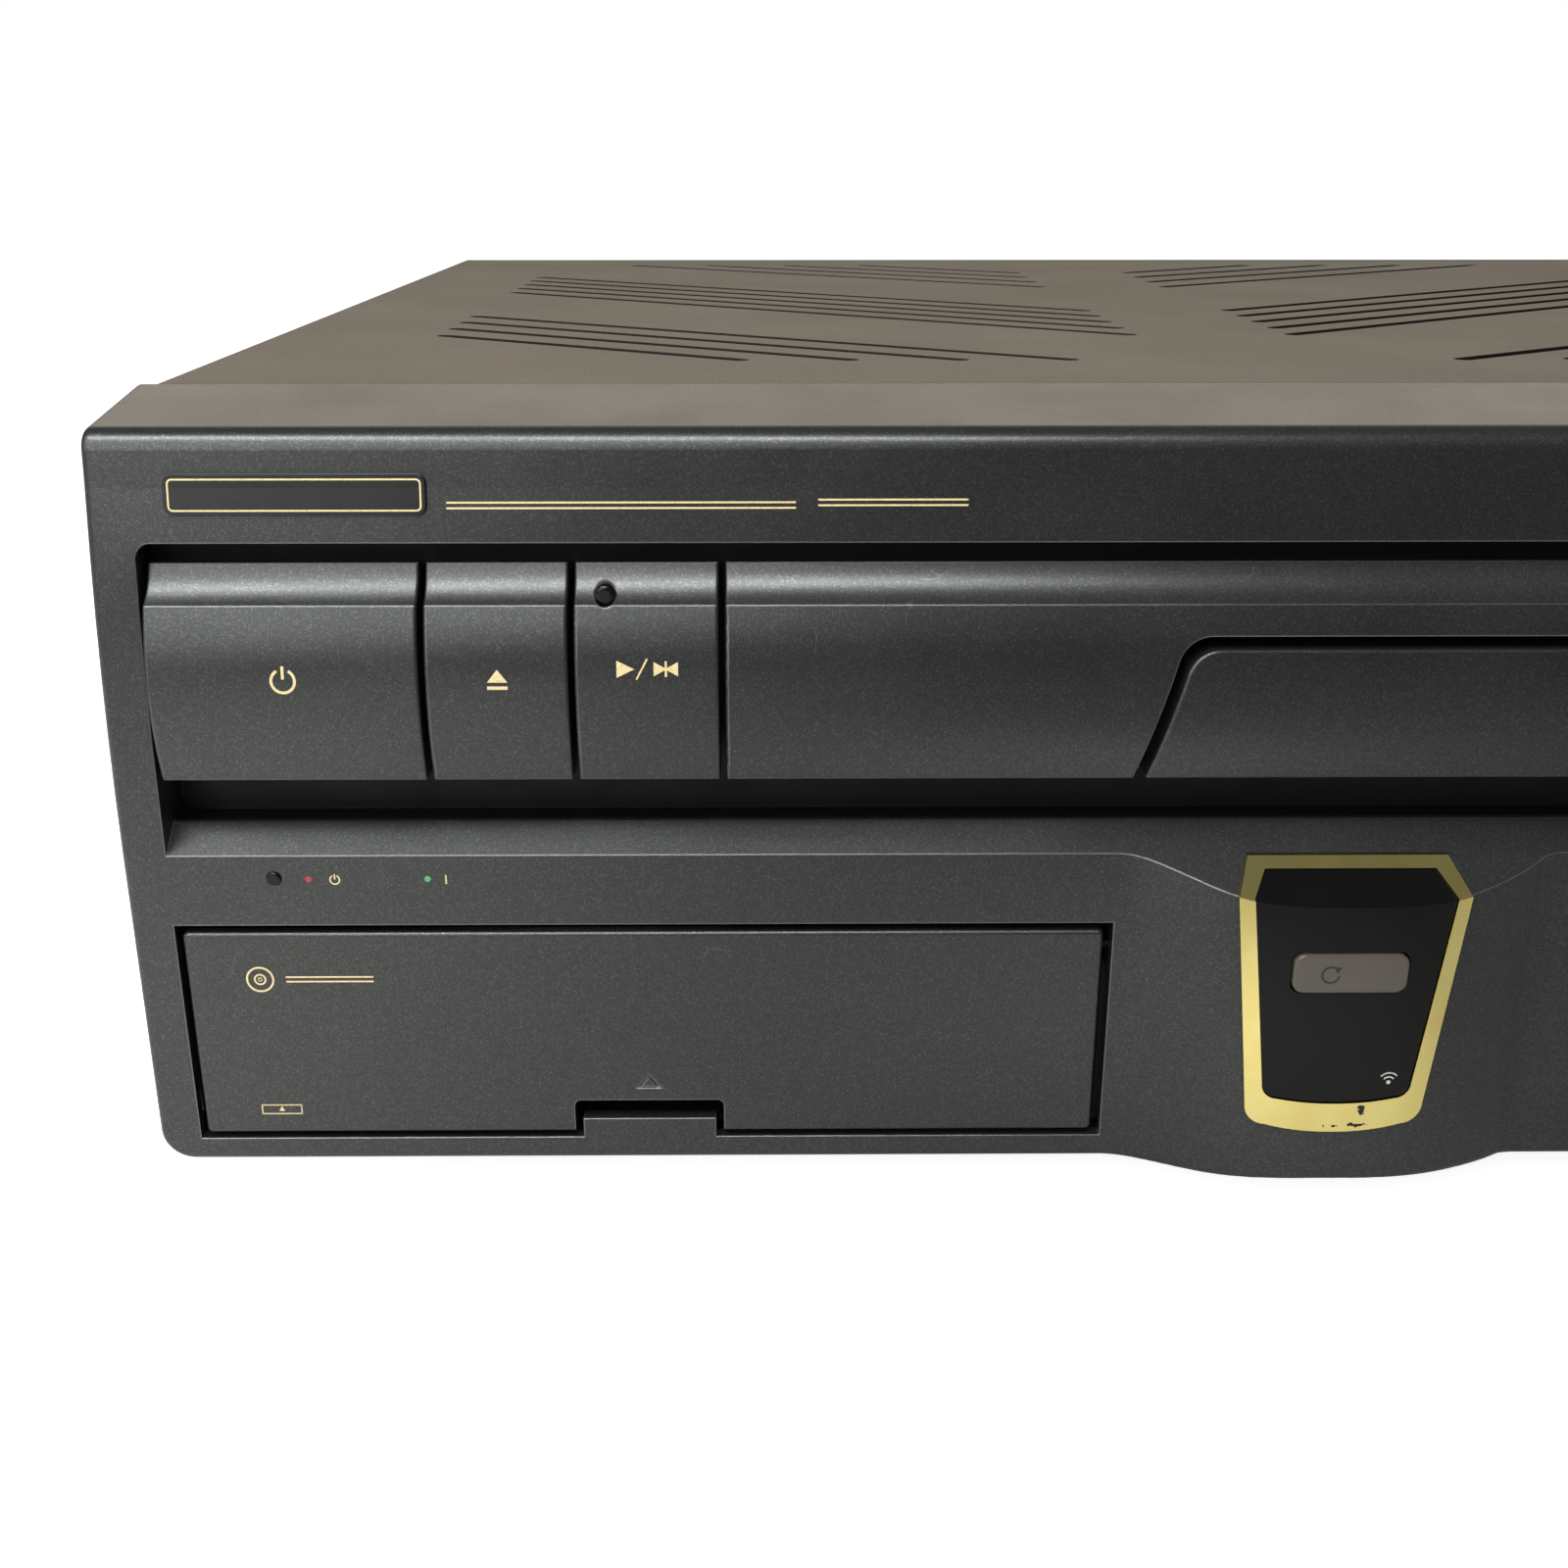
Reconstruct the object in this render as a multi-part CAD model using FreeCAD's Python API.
import FreeCAD, Part
import math
import os

# Laserdisc player with a compact-disc drawer inside its disc tray and a bay for plug-in packs.
# Millimetres. +X is the player's right seen from the front, +Y runs to the rear, +Z is up.
# The origin is on the table, under the middle of the whole outline.

Vector = FreeCAD.Vector

# ---- case ----
player_width = 422.8
player_height = 145.0
spindle_setback = 172.0        # flat front face to the spindle
spindle_to_rear = 204.0        # spindle to the rear edge of the cover
nose_reach = 8.6               # how far the badge nose stands out of the flat face
jack_reach = 4.0               # how far the jacks stand out behind the cover
foot_height = 10.0
panel_wall = 2.5
panel_depth = 35.5             # flat face to the joint with the cover
panel_lip = 14.0               # depth of the panel's underside
panel_skirt = 2.2              # how far the panel reaches below the floor sheet
panel_corner = 6.0             # lower corners, seen from the front
cover_inset = 2.5              # the cover is this much narrower each side than the panel
cover_sheet = 0.8
cover_fold = 2.0
cover_seam = 0.4
cover_hem = 2.0                # gap from the floor sheet's underside to the cover's lower edge
chassis_sheet = 1.2
chassis_flange = 14.0
rear_inset = 4.0               # cover's rear edge to the rear panel
rear_sheet = 1.2
seat_gap = 0.3                 # between pieces that are fitted but not fixed
run_gap = 0.05                 # radial, between a shaft and its hole
cut_past = 1.0                 # how far a cutting shape runs past the face that it cuts
edge_pick = 0.1                # how near an edge lies to the place where it is looked for

# ---- front face ----
door_side = 8.85               # case side to the door
door_width = 163.2
door_height = 40.55
door_thick = 2.4
door_gap_left = 1.2
door_gap_right = 1.65
door_gap_top = 1.5
door_gap_bottom = 1.1
door_corner = 1.0
door_edge = 0.8
door_notch_width = 27.4
door_notch_height = 6.6
door_notch_from_left = 68.0
door_notch_corner = 1.2
door_tab_width = 24.4
door_tab_height = 3.85
door_tab_thick = 3.0
door_mark_width = 4.8
door_mark_height = 2.8
door_mark_line = 0.45
door_mark_depth = 0.4
door_mark_lift = 2.5
door_pin_radius = 1.0
door_pin_drop = 4.5
door_pin_set = 2.0
door_pin_length = 6.0
door_ear_radius = 2.3
door_ear_width = 4.0
brow_height = 14.75            # door's top edge to the crest of the ledge
ledge_run = 5.7
ledge_rise = 4.3
lean_mid_set = 1.5
lean_mid_share = 0.49
lean_top_set = 5.5
lean_top_drop = 9.1
crest_set = 6.74
crest_drop = 3.9
crest_radius = 4.0
panel_edge = 1.5

# ---- recess, keys and tray fronts ----
recess_side = 7.9
recess_depth = 12.0
recess_wall = 2.0
recess_corner = 2.6
recess_top_gap = 3.8
key_rise = 13.9                # crest of the ledge to the keys' lower edge
key_height = 36.5
key_top_set = 6.5
key_cove_set = 4.4
key_cove_drop = 3.6
key_step_set = 1.5
key_step_drop = 6.2
key_belly_reach = 1.6
key_belly_drop = 20.8
key_foot_set = 0.5
key_back_set = 8.5
key_skin = 1.6
key_edge = 0.5
key_gap = 1.1
key_end_gap = 0.9
tray_end_gap = 0.5
release_key_width = 23.9
play_key_width = 24.1
key_travel = 1.5
key_stem_half = 3.0
key_stem_past_wall = 3.0
tray_front_width = 308.9
tray_front_back = 8.0
drawer_half_low = 82.45        # compact-disc drawer front, at the keys' lower edge
drawer_half_high = 75.8
drawer_height = 23.0
drawer_corner = 5.8
drawer_gap_side = 2.2
drawer_gap_top = 2.2

# ---- badge nose ----
nose_middle = 2.0
nose_half = 40.0
nose_shoulder = 20.0
nose_shoulder_reach = 6.9
nose_foot = 34.0
nose_foot_reach = 1.15
badge_skin = 1.0
badge_bond = 0.1               # adhesive between the badge and the nose
badge_window_skin = 0.6
badge_gap = 0.15
badge_half_top = 17.5          # on the ledge
badge_half_wide = 20.1         # at the ledge's front edge
badge_half_low = 15.9
badge_top_rise = 0.1           # above the ledge's line on the flat face
badge_wide_lift = 53.8
badge_low_lift = 10.3
badge_corner = 3.7
badge_bow = 1.5
badge_border = 2.6
badge_border_top = 1.6
badge_border_low = 5.2
badge_window_corner = 2.8
badge_window_bow = 1.0
reset_half = 10.0
reset_lift = 36.6
reset_height = 7.3
reset_corner = 2.0
reset_raise = 1.4
reset_edge = 0.45
reset_travel = 0.8
lamp_radius = 1.35
lamp_from_side = 26.2
lamp_below_ledge = 4.3
lamp_length = 6.0
lamp_raise = 0.5
lamp_edge = 0.45
play_lamp_radius = 1.85
play_lamp_drop = 4.7
play_lamp_from_left = 5.2
play_lamp_raise = 0.9
play_lamp_length = 4.0

# ---- display and lower keys ----
display_from_middle = 56.0
display_width = 138.0
display_height = 25.0
display_thick = 1.75
display_lap = 2.5
display_tube_width = 110.0
display_tube_height = 20.0
display_tube_depth = 9.0
display_board_lap = 6.0
lower_key_width = 30.0
lower_key_height = 8.0
lower_key_pitch = 36.0
lower_key_count = 3
lower_key_lift = 8.0
lower_key_raise = 1.0
lower_key_thick = 6.0
lower_key_corner = 1.5
board_thick = 1.6
board_from_wall = 9.0
board_end_room = 3.3
board_arm_height = 3.2
switch_half = 3.0
switch_cap_radius = 1.7
switch_rest_gap = 0.2

# ---- feet and screws ----
foot_radius = 24.0
foot_foot_taper = 2.0
foot_pad_radius = 18.0
foot_pad_thick = 1.5
foot_pad_sink = 0.5
foot_inset_x = 55.0
foot_inset_front = 45.0
foot_inset_rear = 45.0
screw_radius = 2.0
screw_head_radius = 3.6
screw_head_height = 2.0
screw_length = 2.6
screw_slot = 0.8
screw_slot_depth = 0.9
cover_screw_lift = 8.0
cover_screw_inset = 60.0
rear_screw_inset = 8.0
rear_screw_lift = 16.0

# ---- pack bay ----
bay_wall = 2.0
bay_floor = 1.3
bay_length = 236.0
bay_front_set = 8.0
connector_width = 60.0
connector_height = 12.0
connector_depth = 10.0
connector_wall = 1.8
connector_tongue = 1.6
connector_tongue_set = 5.4
connector_lift = 16.0

# ---- discs and trays ----
disc_radius = 150.0
disc_side_room = 1.3
small_disc_radius = 60.0
small_disc_room = 0.6
tray_lift = 2.2                # keys' lower edge to the tray's underside
tray_skin = 2.5
tray_floor_lift = 12.0
tray_rim = 7.0
tray_wall = 2.0
tray_side_room = 1.1
tray_flange = 1.3
tray_flange_lift = 3.0
tray_flange_height = 2.0
tray_slot_half = 26.0
tray_hub_hole = 30.0
tray_rear_bridge = 7.0
tray_flange_set = 4.0
tray_tail = 20.0
drawer_plate_half = 75.0
drawer_plate_thick = 7.5
drawer_shelf = 3.6
drawer_shelf_reach = 4.0
drawer_lip_reach = 2.4
drawer_lip_room = 2.9
drawer_well_depth = 3.5
drawer_slot_half = 24.0
drawer_tail_margin = 6.0
drawer_arm_width = 3.5
drawer_runner_kept = 75.0      # runner still inside the tray when the drawer is out
tray_travel = 300.0
drawer_travel = 232.0

# ---- tray drive ----
rack_module = 1.5
rack_from_tray_middle = 108.6
rack_web = 4.0
rack_height = 4.0
rack_spare_teeth = 2
tooth_addendum = 0.8
tooth_dedendum = 1.1
tooth_backlash = 0.25
pressure_angle = 20.0
pinion_teeth = 20
pinion_setback = 45.0
train_module = 1.0
train_wheel_teeth = 48
train_pinion_teeth = 12
train_width = 3.4
train_drop = 1.6
train_hub_radius = 4.0
pulley_radius = 16.0
pulley_width = 4.0
pulley_drop = 1.0
pulley_rim = 1.0
motor_pulley_radius = 4.0
belt_thick = 1.4
belt_centres = 48.0
motor_radius = 12.0
motor_shaft_radius = 1.0
motor_plate_gap = 1.5
post_radius = 2.0

# ---- mechanism deck ----
deck_thick = 2.5
deck_wall = 2.5
deck_front_set = 17.0
deck_rear_room = 15.0
deck_post_radius = 5.0
deck_post_inset = 10.0
guide_lip = 1.8
guide_shelf = 2.5
guide_shelf_reach = 4.0
carriage_thick = 2.0
carriage_half = 62.0
carriage_front = 60.0
deck_window_half = 31.0
deck_window_front = 30.0
deck_window_rear = 88.0
carriage_lift = 14.0
carriage_rest = 2.0
lift_post_radius = 3.0
lift_collar_radius = 4.8
lift_post_inset = 8.0
platter_radius = 22.0
platter_thick = 5.0
platter_drop = 3.5
hub_radius = 7.4
hub_rise = 3.0
cone_radius = 17.3
cone_inner = 8.0
cone_sink = 2.2
cone_rise = 2.6
cone_floor = 0.9
cone_taper = 1.6
spindle_motor_radius = 17.0
spindle_shaft_radius = 1.5
spindle_motor_gap = 1.2
guide_rod_radius = 2.5
guide_rod_half = 30.0
guide_rod_rise = 4.5
rod_lug = 4.0
rod_lug_width = 10.0
rod_lug_cap = 2.5
rod_end_room = 6.0             # sled to the far lug, at the end of its travel
sled_half = 35.0
sled_length = 29.0
sled_first = 24.0              # spindle to the sled's near edge
sled_low = 1.3
sled_high = 9.8
lens_radius_first = 32.0
sled_travel = 113.0
sled_slot_room = 4.0
turret_half = 13.0
turret_length = 18.0
turret_rise = 8.6
turret_wall = 2.5
lens_radius = 2.4
lens_holder_half = 5.0
lens_holder_thick = 3.0
lens_wing_half = 2.5
lens_wing_thick = 1.0
lens_sink = 0.25
lens_raise = 1.0
screw_offset = 42.0
lead_screw_radius = 2.0
nut_wall = 2.0
nut_length = 9.6
sled_motor_radius = 5.5
sled_motor_length = 20.0
sled_cradle_half = 5.0

# ---- clamp ----
clamp_clear = 9.5              # tray rim to the arm's underside
clamp_sheet = 1.5
clamp_arm_half_rear = 45.0
clamp_arm_half_front = 24.0
clamp_arm_past_spindle = 30.0
clamp_ear = 10.0
clamp_pivot_setback = 182.0    # spindle to the clamp pivot
clamp_pin_radius = 1.5
clamp_bracket_gap = 1.0
clamp_bracket_depth = 10.0
clamp_bracket_cap = 6.0
clamp_pin_length = 9.0
puck_radius = 20.0
puck_thick = 4.0
puck_drop = 3.5
puck_well_radius = 9.0
puck_well_depth = 2.4
puck_stem_radius = 6.0
puck_stem_room = 0.8
puck_flange_radius = 9.0
puck_flange_thick = 1.5

# ---- electronics ----
board_lift = 9.0
main_board_front_room = 12.0
main_board_half = 120.0
main_board_middle = -62.0
main_board_rear_room = 2.0
standoff_radius = 3.0
standoff_inset = 8.0
chip_width = 24.0
chip_height = 2.4
chip_pitch = 34.0
chip_count = 4
chip_from_edge = 24.0
board_hole_room = 0.6
power_board_width = 74.0
power_board_length = 150.0
power_board_side_room = 12.0
power_board_front_room = 60.0
transformer_width = 56.0
transformer_length = 48.0
transformer_core_height = 34.0
transformer_coil_spread = 6.0
transformer_coil_height = 22.0
transformer_coil_inset = 12.0
transformer_coil_corner = 3.0
transformer_side_room = 88.0
sink_base = 3.0
sink_fin = 1.2
sink_fin_pitch = 5.0
sink_fin_count = 8
sink_width = 50.0
sink_height = 26.0
sink_depth = 16.0
sink_from_board_front = 70.0
capacitor_radius = 9.0
capacitor_height = 28.0
capacitor_pitch = 22.0
capacitor_count = 3
capacitor_edge = 0.9
capacitor_from_edge = 18.0
jack_radius = 4.15
jack_hole_radius = 1.7
jack_insert_radius = 3.0
jack_pitch = 14.0
jack_rise = 12.0
jack_count = 3
jack_block_depth = 14.0
jack_block_wall = 5.0
jack_from_middle = 60.0
jack_row_rise = 15.0
svideo_radius = 6.0
svideo_from_edge = 18.0
svideo_pin_radius = 0.6
svideo_pin_half_x = 2.0
svideo_pin_half_z = 1.5
svideo_pin_depth = 8.0
socket_rise = 12.0
socket_depth = 16.0
inlet_width = 26.0
inlet_height = 20.0
inlet_wall = 2.0
inlet_depth = 20.0
inlet_pin_radius = 1.2
inlet_pin_half_pitch = 4.5
inlet_pin_length = 10.0
inlet_from_side = 50.0
inlet_flange = 3.0
inlet_flange_thick = 2.0

# ---- cover vents ----
vent_width = 4.0
vent_front_pitch = 15.0
vent_front_slope = 0.69
vent_front_low = 71.5
vent_front_first = -0.5
vent_front_count = 4
vent_middle_pitch = 14.6
vent_middle_slope = 0.756
vent_middle_first = 104.5
vent_middle_count = 5
vent_rear_pitch = 19.3
vent_rear_slope = 0.74
vent_rear_high = 346.0
vent_rear_first = 239.2
vent_rear_count = 4
vent_side = 170.0
vent_inner_front = 37.0
vent_inner = 18.5

# ---- places worked out from the sizes ----
case_half = player_width / 2
case_depth = nose_reach + reset_raise + spindle_setback + spindle_to_rear + jack_reach
front_y = -case_depth / 2 + nose_reach + reset_raise
before_y = front_y - nose_reach - reset_raise - cut_past
spindle_y = front_y + spindle_setback
rear_y = spindle_y + spindle_to_rear
joint_y = front_y + panel_depth
rear_panel_y = rear_y - rear_inset
cover_half = case_half - cover_inset
cover_in = cover_half - cover_sheet
floor_top = foot_height + chassis_sheet
panel_low = foot_height - panel_skirt
door_x = (-case_half + door_side, -case_half + door_side + door_width)
door_low = floor_top + bay_floor + door_gap_bottom
door_z = (door_low, door_low + door_height)
door_hole_x = (door_x[0] - door_gap_left, door_x[1] + door_gap_right)
door_hole_z = (door_z[0] - door_gap_bottom, door_z[1] + door_gap_top)
ledge_z = door_z[1] + brow_height
key_z = (ledge_z + key_rise, ledge_z + key_rise + key_height)
recess_half = case_half - recess_side
recess_top = key_z[1] + recess_top_gap
recess_back_y = front_y + recess_depth
crest_z = player_height - crest_drop
tray_front_x = (recess_half - tray_end_gap - tray_front_width, recess_half - tray_end_gap)
tray_x = (tray_front_x[0] + tray_front_x[1]) / 2
play_key_x = (tray_front_x[0] - key_gap - play_key_width, tray_front_x[0] - key_gap)
release_key_x = (play_key_x[0] - key_gap - release_key_width, play_key_x[0] - key_gap)
power_key_x = (-recess_half + key_end_gap, release_key_x[0] - key_gap)
bay_z = (door_hole_z[0] - bay_floor, door_hole_z[1] + bay_wall)
bay_y = (front_y + bay_front_set, front_y + bay_front_set + bay_length)
bay_x = (door_hole_x[0] - bay_wall, door_hole_x[1] + bay_wall)
tray_z = key_z[0] + tray_lift
tray_floor_z = tray_z + tray_floor_lift
tray_rim_z = tray_floor_z + tray_rim
tray_half = tray_front_width / 2 - tray_side_room - tray_flange
tray_front_y = front_y + tray_front_back
slot_end_y = spindle_y + lens_radius_first + sled_travel + turret_length / 2 + sled_slot_room
tray_rear_y = slot_end_y + tray_rear_bridge
flange_z = (tray_z + tray_flange_lift, tray_z + tray_flange_lift + tray_flange_height)
drawer_z = (tray_z + drawer_shelf + seat_gap, tray_z + drawer_shelf + seat_gap + drawer_plate_thick)
drawer_rear_y = spindle_y + small_disc_radius + drawer_tail_margin
drawer_lip_z = tray_floor_z - tray_skin
runner_end_y = tray_front_y + drawer_travel + drawer_runner_kept
deck_z = (bay_z[1], bay_z[1] + deck_thick)
deck_y = (front_y + deck_front_set, rear_panel_y - deck_rear_room)
guide_half = tray_half + tray_flange + seat_gap
deck_half = guide_half + deck_wall
carriage_z = (deck_z[1] + carriage_rest, deck_z[1] + carriage_rest + carriage_thick)
sled_y = (spindle_y + sled_first, spindle_y + sled_first + sled_length)
carriage_y = (spindle_y - carriage_front, sled_y[1] + sled_travel + rod_end_room + rod_lug)
platter_z = (drawer_z[0] - platter_drop - platter_thick, drawer_z[0] - platter_drop)
rod_z = carriage_z[1] + guide_rod_rise
sled_z = (carriage_z[1] + sled_low, carriage_z[1] + sled_high)
clamp_z = (tray_rim_z + clamp_clear, tray_rim_z + clamp_clear + clamp_sheet)
clamp_pivot_y = spindle_y + clamp_pivot_setback
clamp_pivot_z = clamp_z[0]
pinion_pitch_radius = rack_module * pinion_teeth / 2
pinion_x = tray_x - rack_from_tray_middle - pinion_pitch_radius
pinion_y = front_y + pinion_setback
rack_z = (tray_z + seat_gap + train_width / 2, tray_z + seat_gap + train_width / 2 + rack_height)
wheel_z = (tray_z - train_drop - train_width, tray_z - train_drop)
train_distance = train_module * (train_wheel_teeth + train_pinion_teeth) / 2
belt_gear_y = pinion_y + train_distance
pulley_z = (wheel_z[0] - pulley_drop - pulley_width, wheel_z[0] - pulley_drop)
loading_motor_y = belt_gear_y + belt_centres
board_z = (floor_top + board_lift, floor_top + board_lift + board_thick)
front_board_y = (recess_back_y + recess_wall + board_from_wall,
                 recess_back_y + recess_wall + board_from_wall + board_thick)
lower_board_y = (front_y + lower_key_thick + board_from_wall,
                 front_y + lower_key_thick + board_from_wall + board_thick)


# ---- shared shapes ----
def span(middle, half):
    """Limits either side of a middle."""
    return (middle - half, middle + half)


def grown(limits, by):
    """Limits pushed out by the same amount at both ends."""
    return (limits[0] - by, limits[1] + by)


def box(x, y, z):
    """Block between limits along each axis."""
    corner = Vector(x[0], y[0], z[0])
    return Part.makeBox(x[1] - x[0], y[1] - y[0], z[1] - z[0], corner)


def rod(radius, start, end):
    """Round bar from one point to another."""
    first = Vector(*start)
    run = Vector(*end) - first
    return Part.makeCylinder(radius, run.Length, first, run)


def cone(radius_start, radius_end, start, end):
    """Tapered round bar from one point to another."""
    first = Vector(*start)
    run = Vector(*end) - first
    return Part.makeCone(radius_start, radius_end, run.Length, first, run)


def face_of(steps, place):
    """Flat face round an outline; a step of two points is an arc through the first of them."""
    here = place(*steps[0])
    edges = []
    last = steps[-1][1] if isinstance(steps[-1][0], tuple) else steps[-1]
    closing = [] if last == steps[0] else [steps[0]]
    for step in steps[1:] + closing:
        if isinstance(step[0], tuple):
            end = place(*step[1])
            edges.append(Part.Arc(here, place(*step[0]), end).toShape())
        else:
            end = place(*step)
            edges.append(Part.makeLine(here, end))
        here = end
    return Part.Face(Part.Wire(edges))


def extrude_x(steps, x):
    """Outline in Y and Z, drawn out along X."""
    face = face_of(steps, lambda y, z: Vector(x[0], y, z))
    return face.extrude(Vector(x[1] - x[0], 0, 0))


def extrude_y(steps, y):
    """Outline in X and Z, drawn out along Y."""
    face = face_of(steps, lambda x, z: Vector(x, y[0], z))
    return face.extrude(Vector(0, y[1] - y[0], 0))


def extrude_z(steps, z):
    """Outline in X and Y, drawn out along Z."""
    face = face_of(steps, lambda x, y: Vector(x, y, z[0]))
    return face.extrude(Vector(0, 0, z[1] - z[0]))


def corner_via(centre, radius, turn):
    """Middle point of a rounded corner whose outward direction is turn degrees."""
    angle = math.radians(turn)
    return (centre[0] + radius * math.cos(angle), centre[1] + radius * math.sin(angle))


def rounded(a, b, radius):
    """Outline of a rectangle with four round corners."""
    inner_a = grown(a, -radius)
    inner_b = grown(b, -radius)
    return [
        (inner_a[0], b[0]),
        (inner_a[1], b[0]),
        (corner_via((inner_a[1], inner_b[0]), radius, -45), (a[1], inner_b[0])),
        (a[1], inner_b[1]),
        (corner_via((inner_a[1], inner_b[1]), radius, 45), (inner_a[1], b[1])),
        (inner_a[0], b[1]),
        (corner_via((inner_a[0], inner_b[1]), radius, 135), (a[0], inner_b[1])),
        (a[0], inner_b[0]),
        (corner_via((inner_a[0], inner_b[0]), radius, 225), (inner_a[0], b[0])),
    ]


def joined(first, *others):
    """One solid from touching pieces."""
    whole = first.fuse(list(others))
    return whole.removeSplitter()


def group(pieces):
    """Separate solids kept together as one node."""
    return Part.makeCompound(pieces)


def mirrored(shape, middle):
    """Copy on the other side of an upright plane."""
    return shape.mirror(Vector(middle, 0, 0), Vector(1, 0, 0))


def involute(radius, base_radius):
    """Angle that the flank has turned through at a radius."""
    if radius <= base_radius:
        return 0.0
    reach = math.sqrt((radius / base_radius) ** 2 - 1)
    return reach - math.atan(reach)


def gear(teeth, module, z, centre, first_turn):
    """Spur gear whose first tooth points first_turn degrees round from +X."""
    pitch_radius = teeth * module / 2
    base_radius = pitch_radius * math.cos(math.radians(pressure_angle))
    radii = [
        pitch_radius - tooth_dedendum * module,
        pitch_radius,
        pitch_radius + tooth_addendum * module,
    ]
    pitch_half = math.pi / (2 * teeth) - tooth_backlash / (2 * pitch_radius)
    at_pitch = pitch_half + involute(pitch_radius, base_radius)
    halves = [at_pitch - involute(radius, base_radius) for radius in radii]
    points = []
    for tooth in range(teeth):
        middle = math.radians(first_turn) + 2 * math.pi * tooth / teeth
        flank = [(radius, middle - half) for radius, half in zip(radii, halves)]
        back = [(radius, middle + half) for radius, half in zip(radii, halves)]
        for radius, angle in flank + back[::-1]:
            points.append((centre[0] + radius * math.cos(angle), centre[1] + radius * math.sin(angle)))
    return extrude_z(points, z)


def screw(head, inward):
    """Slotted screw; head is the middle of the face under its head."""
    seat = Vector(*head)
    way = Vector(*inward)
    shank = Part.makeCylinder(screw_radius, screw_length, seat, way)
    cap = Part.makeCylinder(screw_head_radius, screw_head_height, seat, way * -1)
    top = seat - way * (screw_head_height - screw_slot_depth)
    turned = FreeCAD.Rotation(Vector(0, 0, 1), way * -1)
    slot = Part.makeBox(2 * screw_head_radius, screw_slot, screw_head_height)
    slot.translate(Vector(-screw_head_radius, -screw_slot / 2, 0))
    slot.Placement = FreeCAD.Placement(top, turned).multiply(slot.Placement)
    return joined(shank, cap).cut(slot)


# ---- casing ----
def panel_profile(inset):
    """Side view of the front panel's skin, pushed in by inset."""
    lean_height = crest_z - lean_top_drop + crest_drop - ledge_z
    lean_mid_z = ledge_z + lean_mid_share * lean_height
    return [
        (front_y + inset, panel_low + inset),
        (front_y + inset, ledge_z),
        (
            (front_y + lean_mid_set + inset, lean_mid_z),
            (front_y + lean_top_set + inset, crest_z - lean_top_drop),
        ),
        (front_y + crest_set + inset, crest_z - inset),
        (joint_y + inset, player_height - inset),
        (joint_y + inset, panel_low + inset),
    ]


def nose_plan(shift):
    """Plan of the badge nose: an S-curve each side of a round middle."""
    left = [
        Vector(nose_middle - nose_half, front_y + shift, 0),
        Vector(nose_middle - nose_foot, front_y - nose_foot_reach + shift, 0),
        Vector(nose_middle - nose_shoulder, front_y - nose_shoulder_reach + shift, 0),
    ]
    right = [Vector(2 * nose_middle - point.x, point.y, 0) for point in left[::-1]]
    middle = [Vector(nose_middle, front_y - nose_reach + shift, 0)]
    curve = Part.BSplineCurve()
    along = Vector(1, 0, 0)
    curve.interpolate(Points=left + middle + right, InitialTangent=along, FinalTangent=along)
    back = front_y + panel_wall + shift
    sides = Part.makePolygon([
        Vector(nose_middle + nose_half, front_y + shift, 0),
        Vector(nose_middle + nose_half, back, 0),
        Vector(nose_middle - nose_half, back, 0),
        Vector(nose_middle - nose_half, front_y + shift, 0),
    ])
    return Part.Face(Part.Wire([curve.toShape()] + sides.Edges))


def above_ledge(lift):
    """Everything above the sloping ledge when it is raised by lift."""
    slope = ledge_rise / ledge_run
    far = player_height
    return extrude_x([
        (front_y - far, ledge_z - slope * far + lift),
        (front_y + ledge_run, ledge_z + ledge_rise + lift),
        (front_y + ledge_run, player_height),
        (front_y - far, player_height),
    ], (-case_half, case_half))


def nose_solid(shift, lift):
    """Badge nose from the panel's underside up to the ledge."""
    plan = nose_plan(shift)
    plan.translate(Vector(0, 0, panel_low))
    body = plan.extrude(Vector(0, 0, ledge_z + ledge_rise - panel_low + lift))
    return body.cut(above_ledge(lift))


def rounded_nose():
    """Badge nose with the same round lower edge as the rest of the panel."""
    body = nose_solid(0, 0)
    low = [edge for edge in body.Edges
           if edge.CenterOfMass.z < panel_low + edge_pick
           and edge.CenterOfMass.y < front_y]
    return body.makeFillet(panel_edge, low)


def recess_steps(grow):
    """Side view of the recess for the keys and the tray front, or of the walls round it."""
    return [
        (front_y - nose_reach, ledge_z - grow),
        (front_y, ledge_z - grow),
        (front_y + ledge_run, ledge_z + ledge_rise - grow),
        (recess_back_y + grow, ledge_z + ledge_rise - grow),
        (recess_back_y + grow, recess_top + grow),
        (front_y - nose_reach, recess_top + grow),
    ]


def recess_cut():
    """Space of the recess, with round corners at its four ends."""
    whole = extrude_x(recess_steps(0), (-recess_half, recess_half))
    front_view = rounded((-recess_half, recess_half), (ledge_z - ledge_rise, recess_top), recess_corner)
    return whole.common(extrude_y(front_view, (before_y, recess_back_y)))


def past_back_wall():
    """Limits along Y of a hole through the recess's back wall."""
    return (recess_back_y - cut_past, recess_back_y + recess_wall + cut_past)


def tray_opening():
    """Hole in the recess's back wall that the trays pass through."""
    x = grown(span(tray_x, tray_half + tray_flange), seat_gap)
    return box(x, past_back_wall(), (key_z[0] + seat_gap, tray_rim_z + recess_wall))


def key_middles():
    """Middle of each upper key along X."""
    return [sum(x) / 2 for x in (power_key_x, release_key_x, play_key_x)]


def lower_key_middles():
    """Middle of each lower key along X."""
    first = display_from_middle + display_width / 2 - lower_key_pitch * (lower_key_count - 1) / 2
    return [first + lower_key_pitch * index for index in range(lower_key_count)]


def stem_hole(x, z, y):
    """Guide hole for a key's stem."""
    half = key_stem_half + seat_gap
    return box(span(x, half), y, span(z, half))


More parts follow.
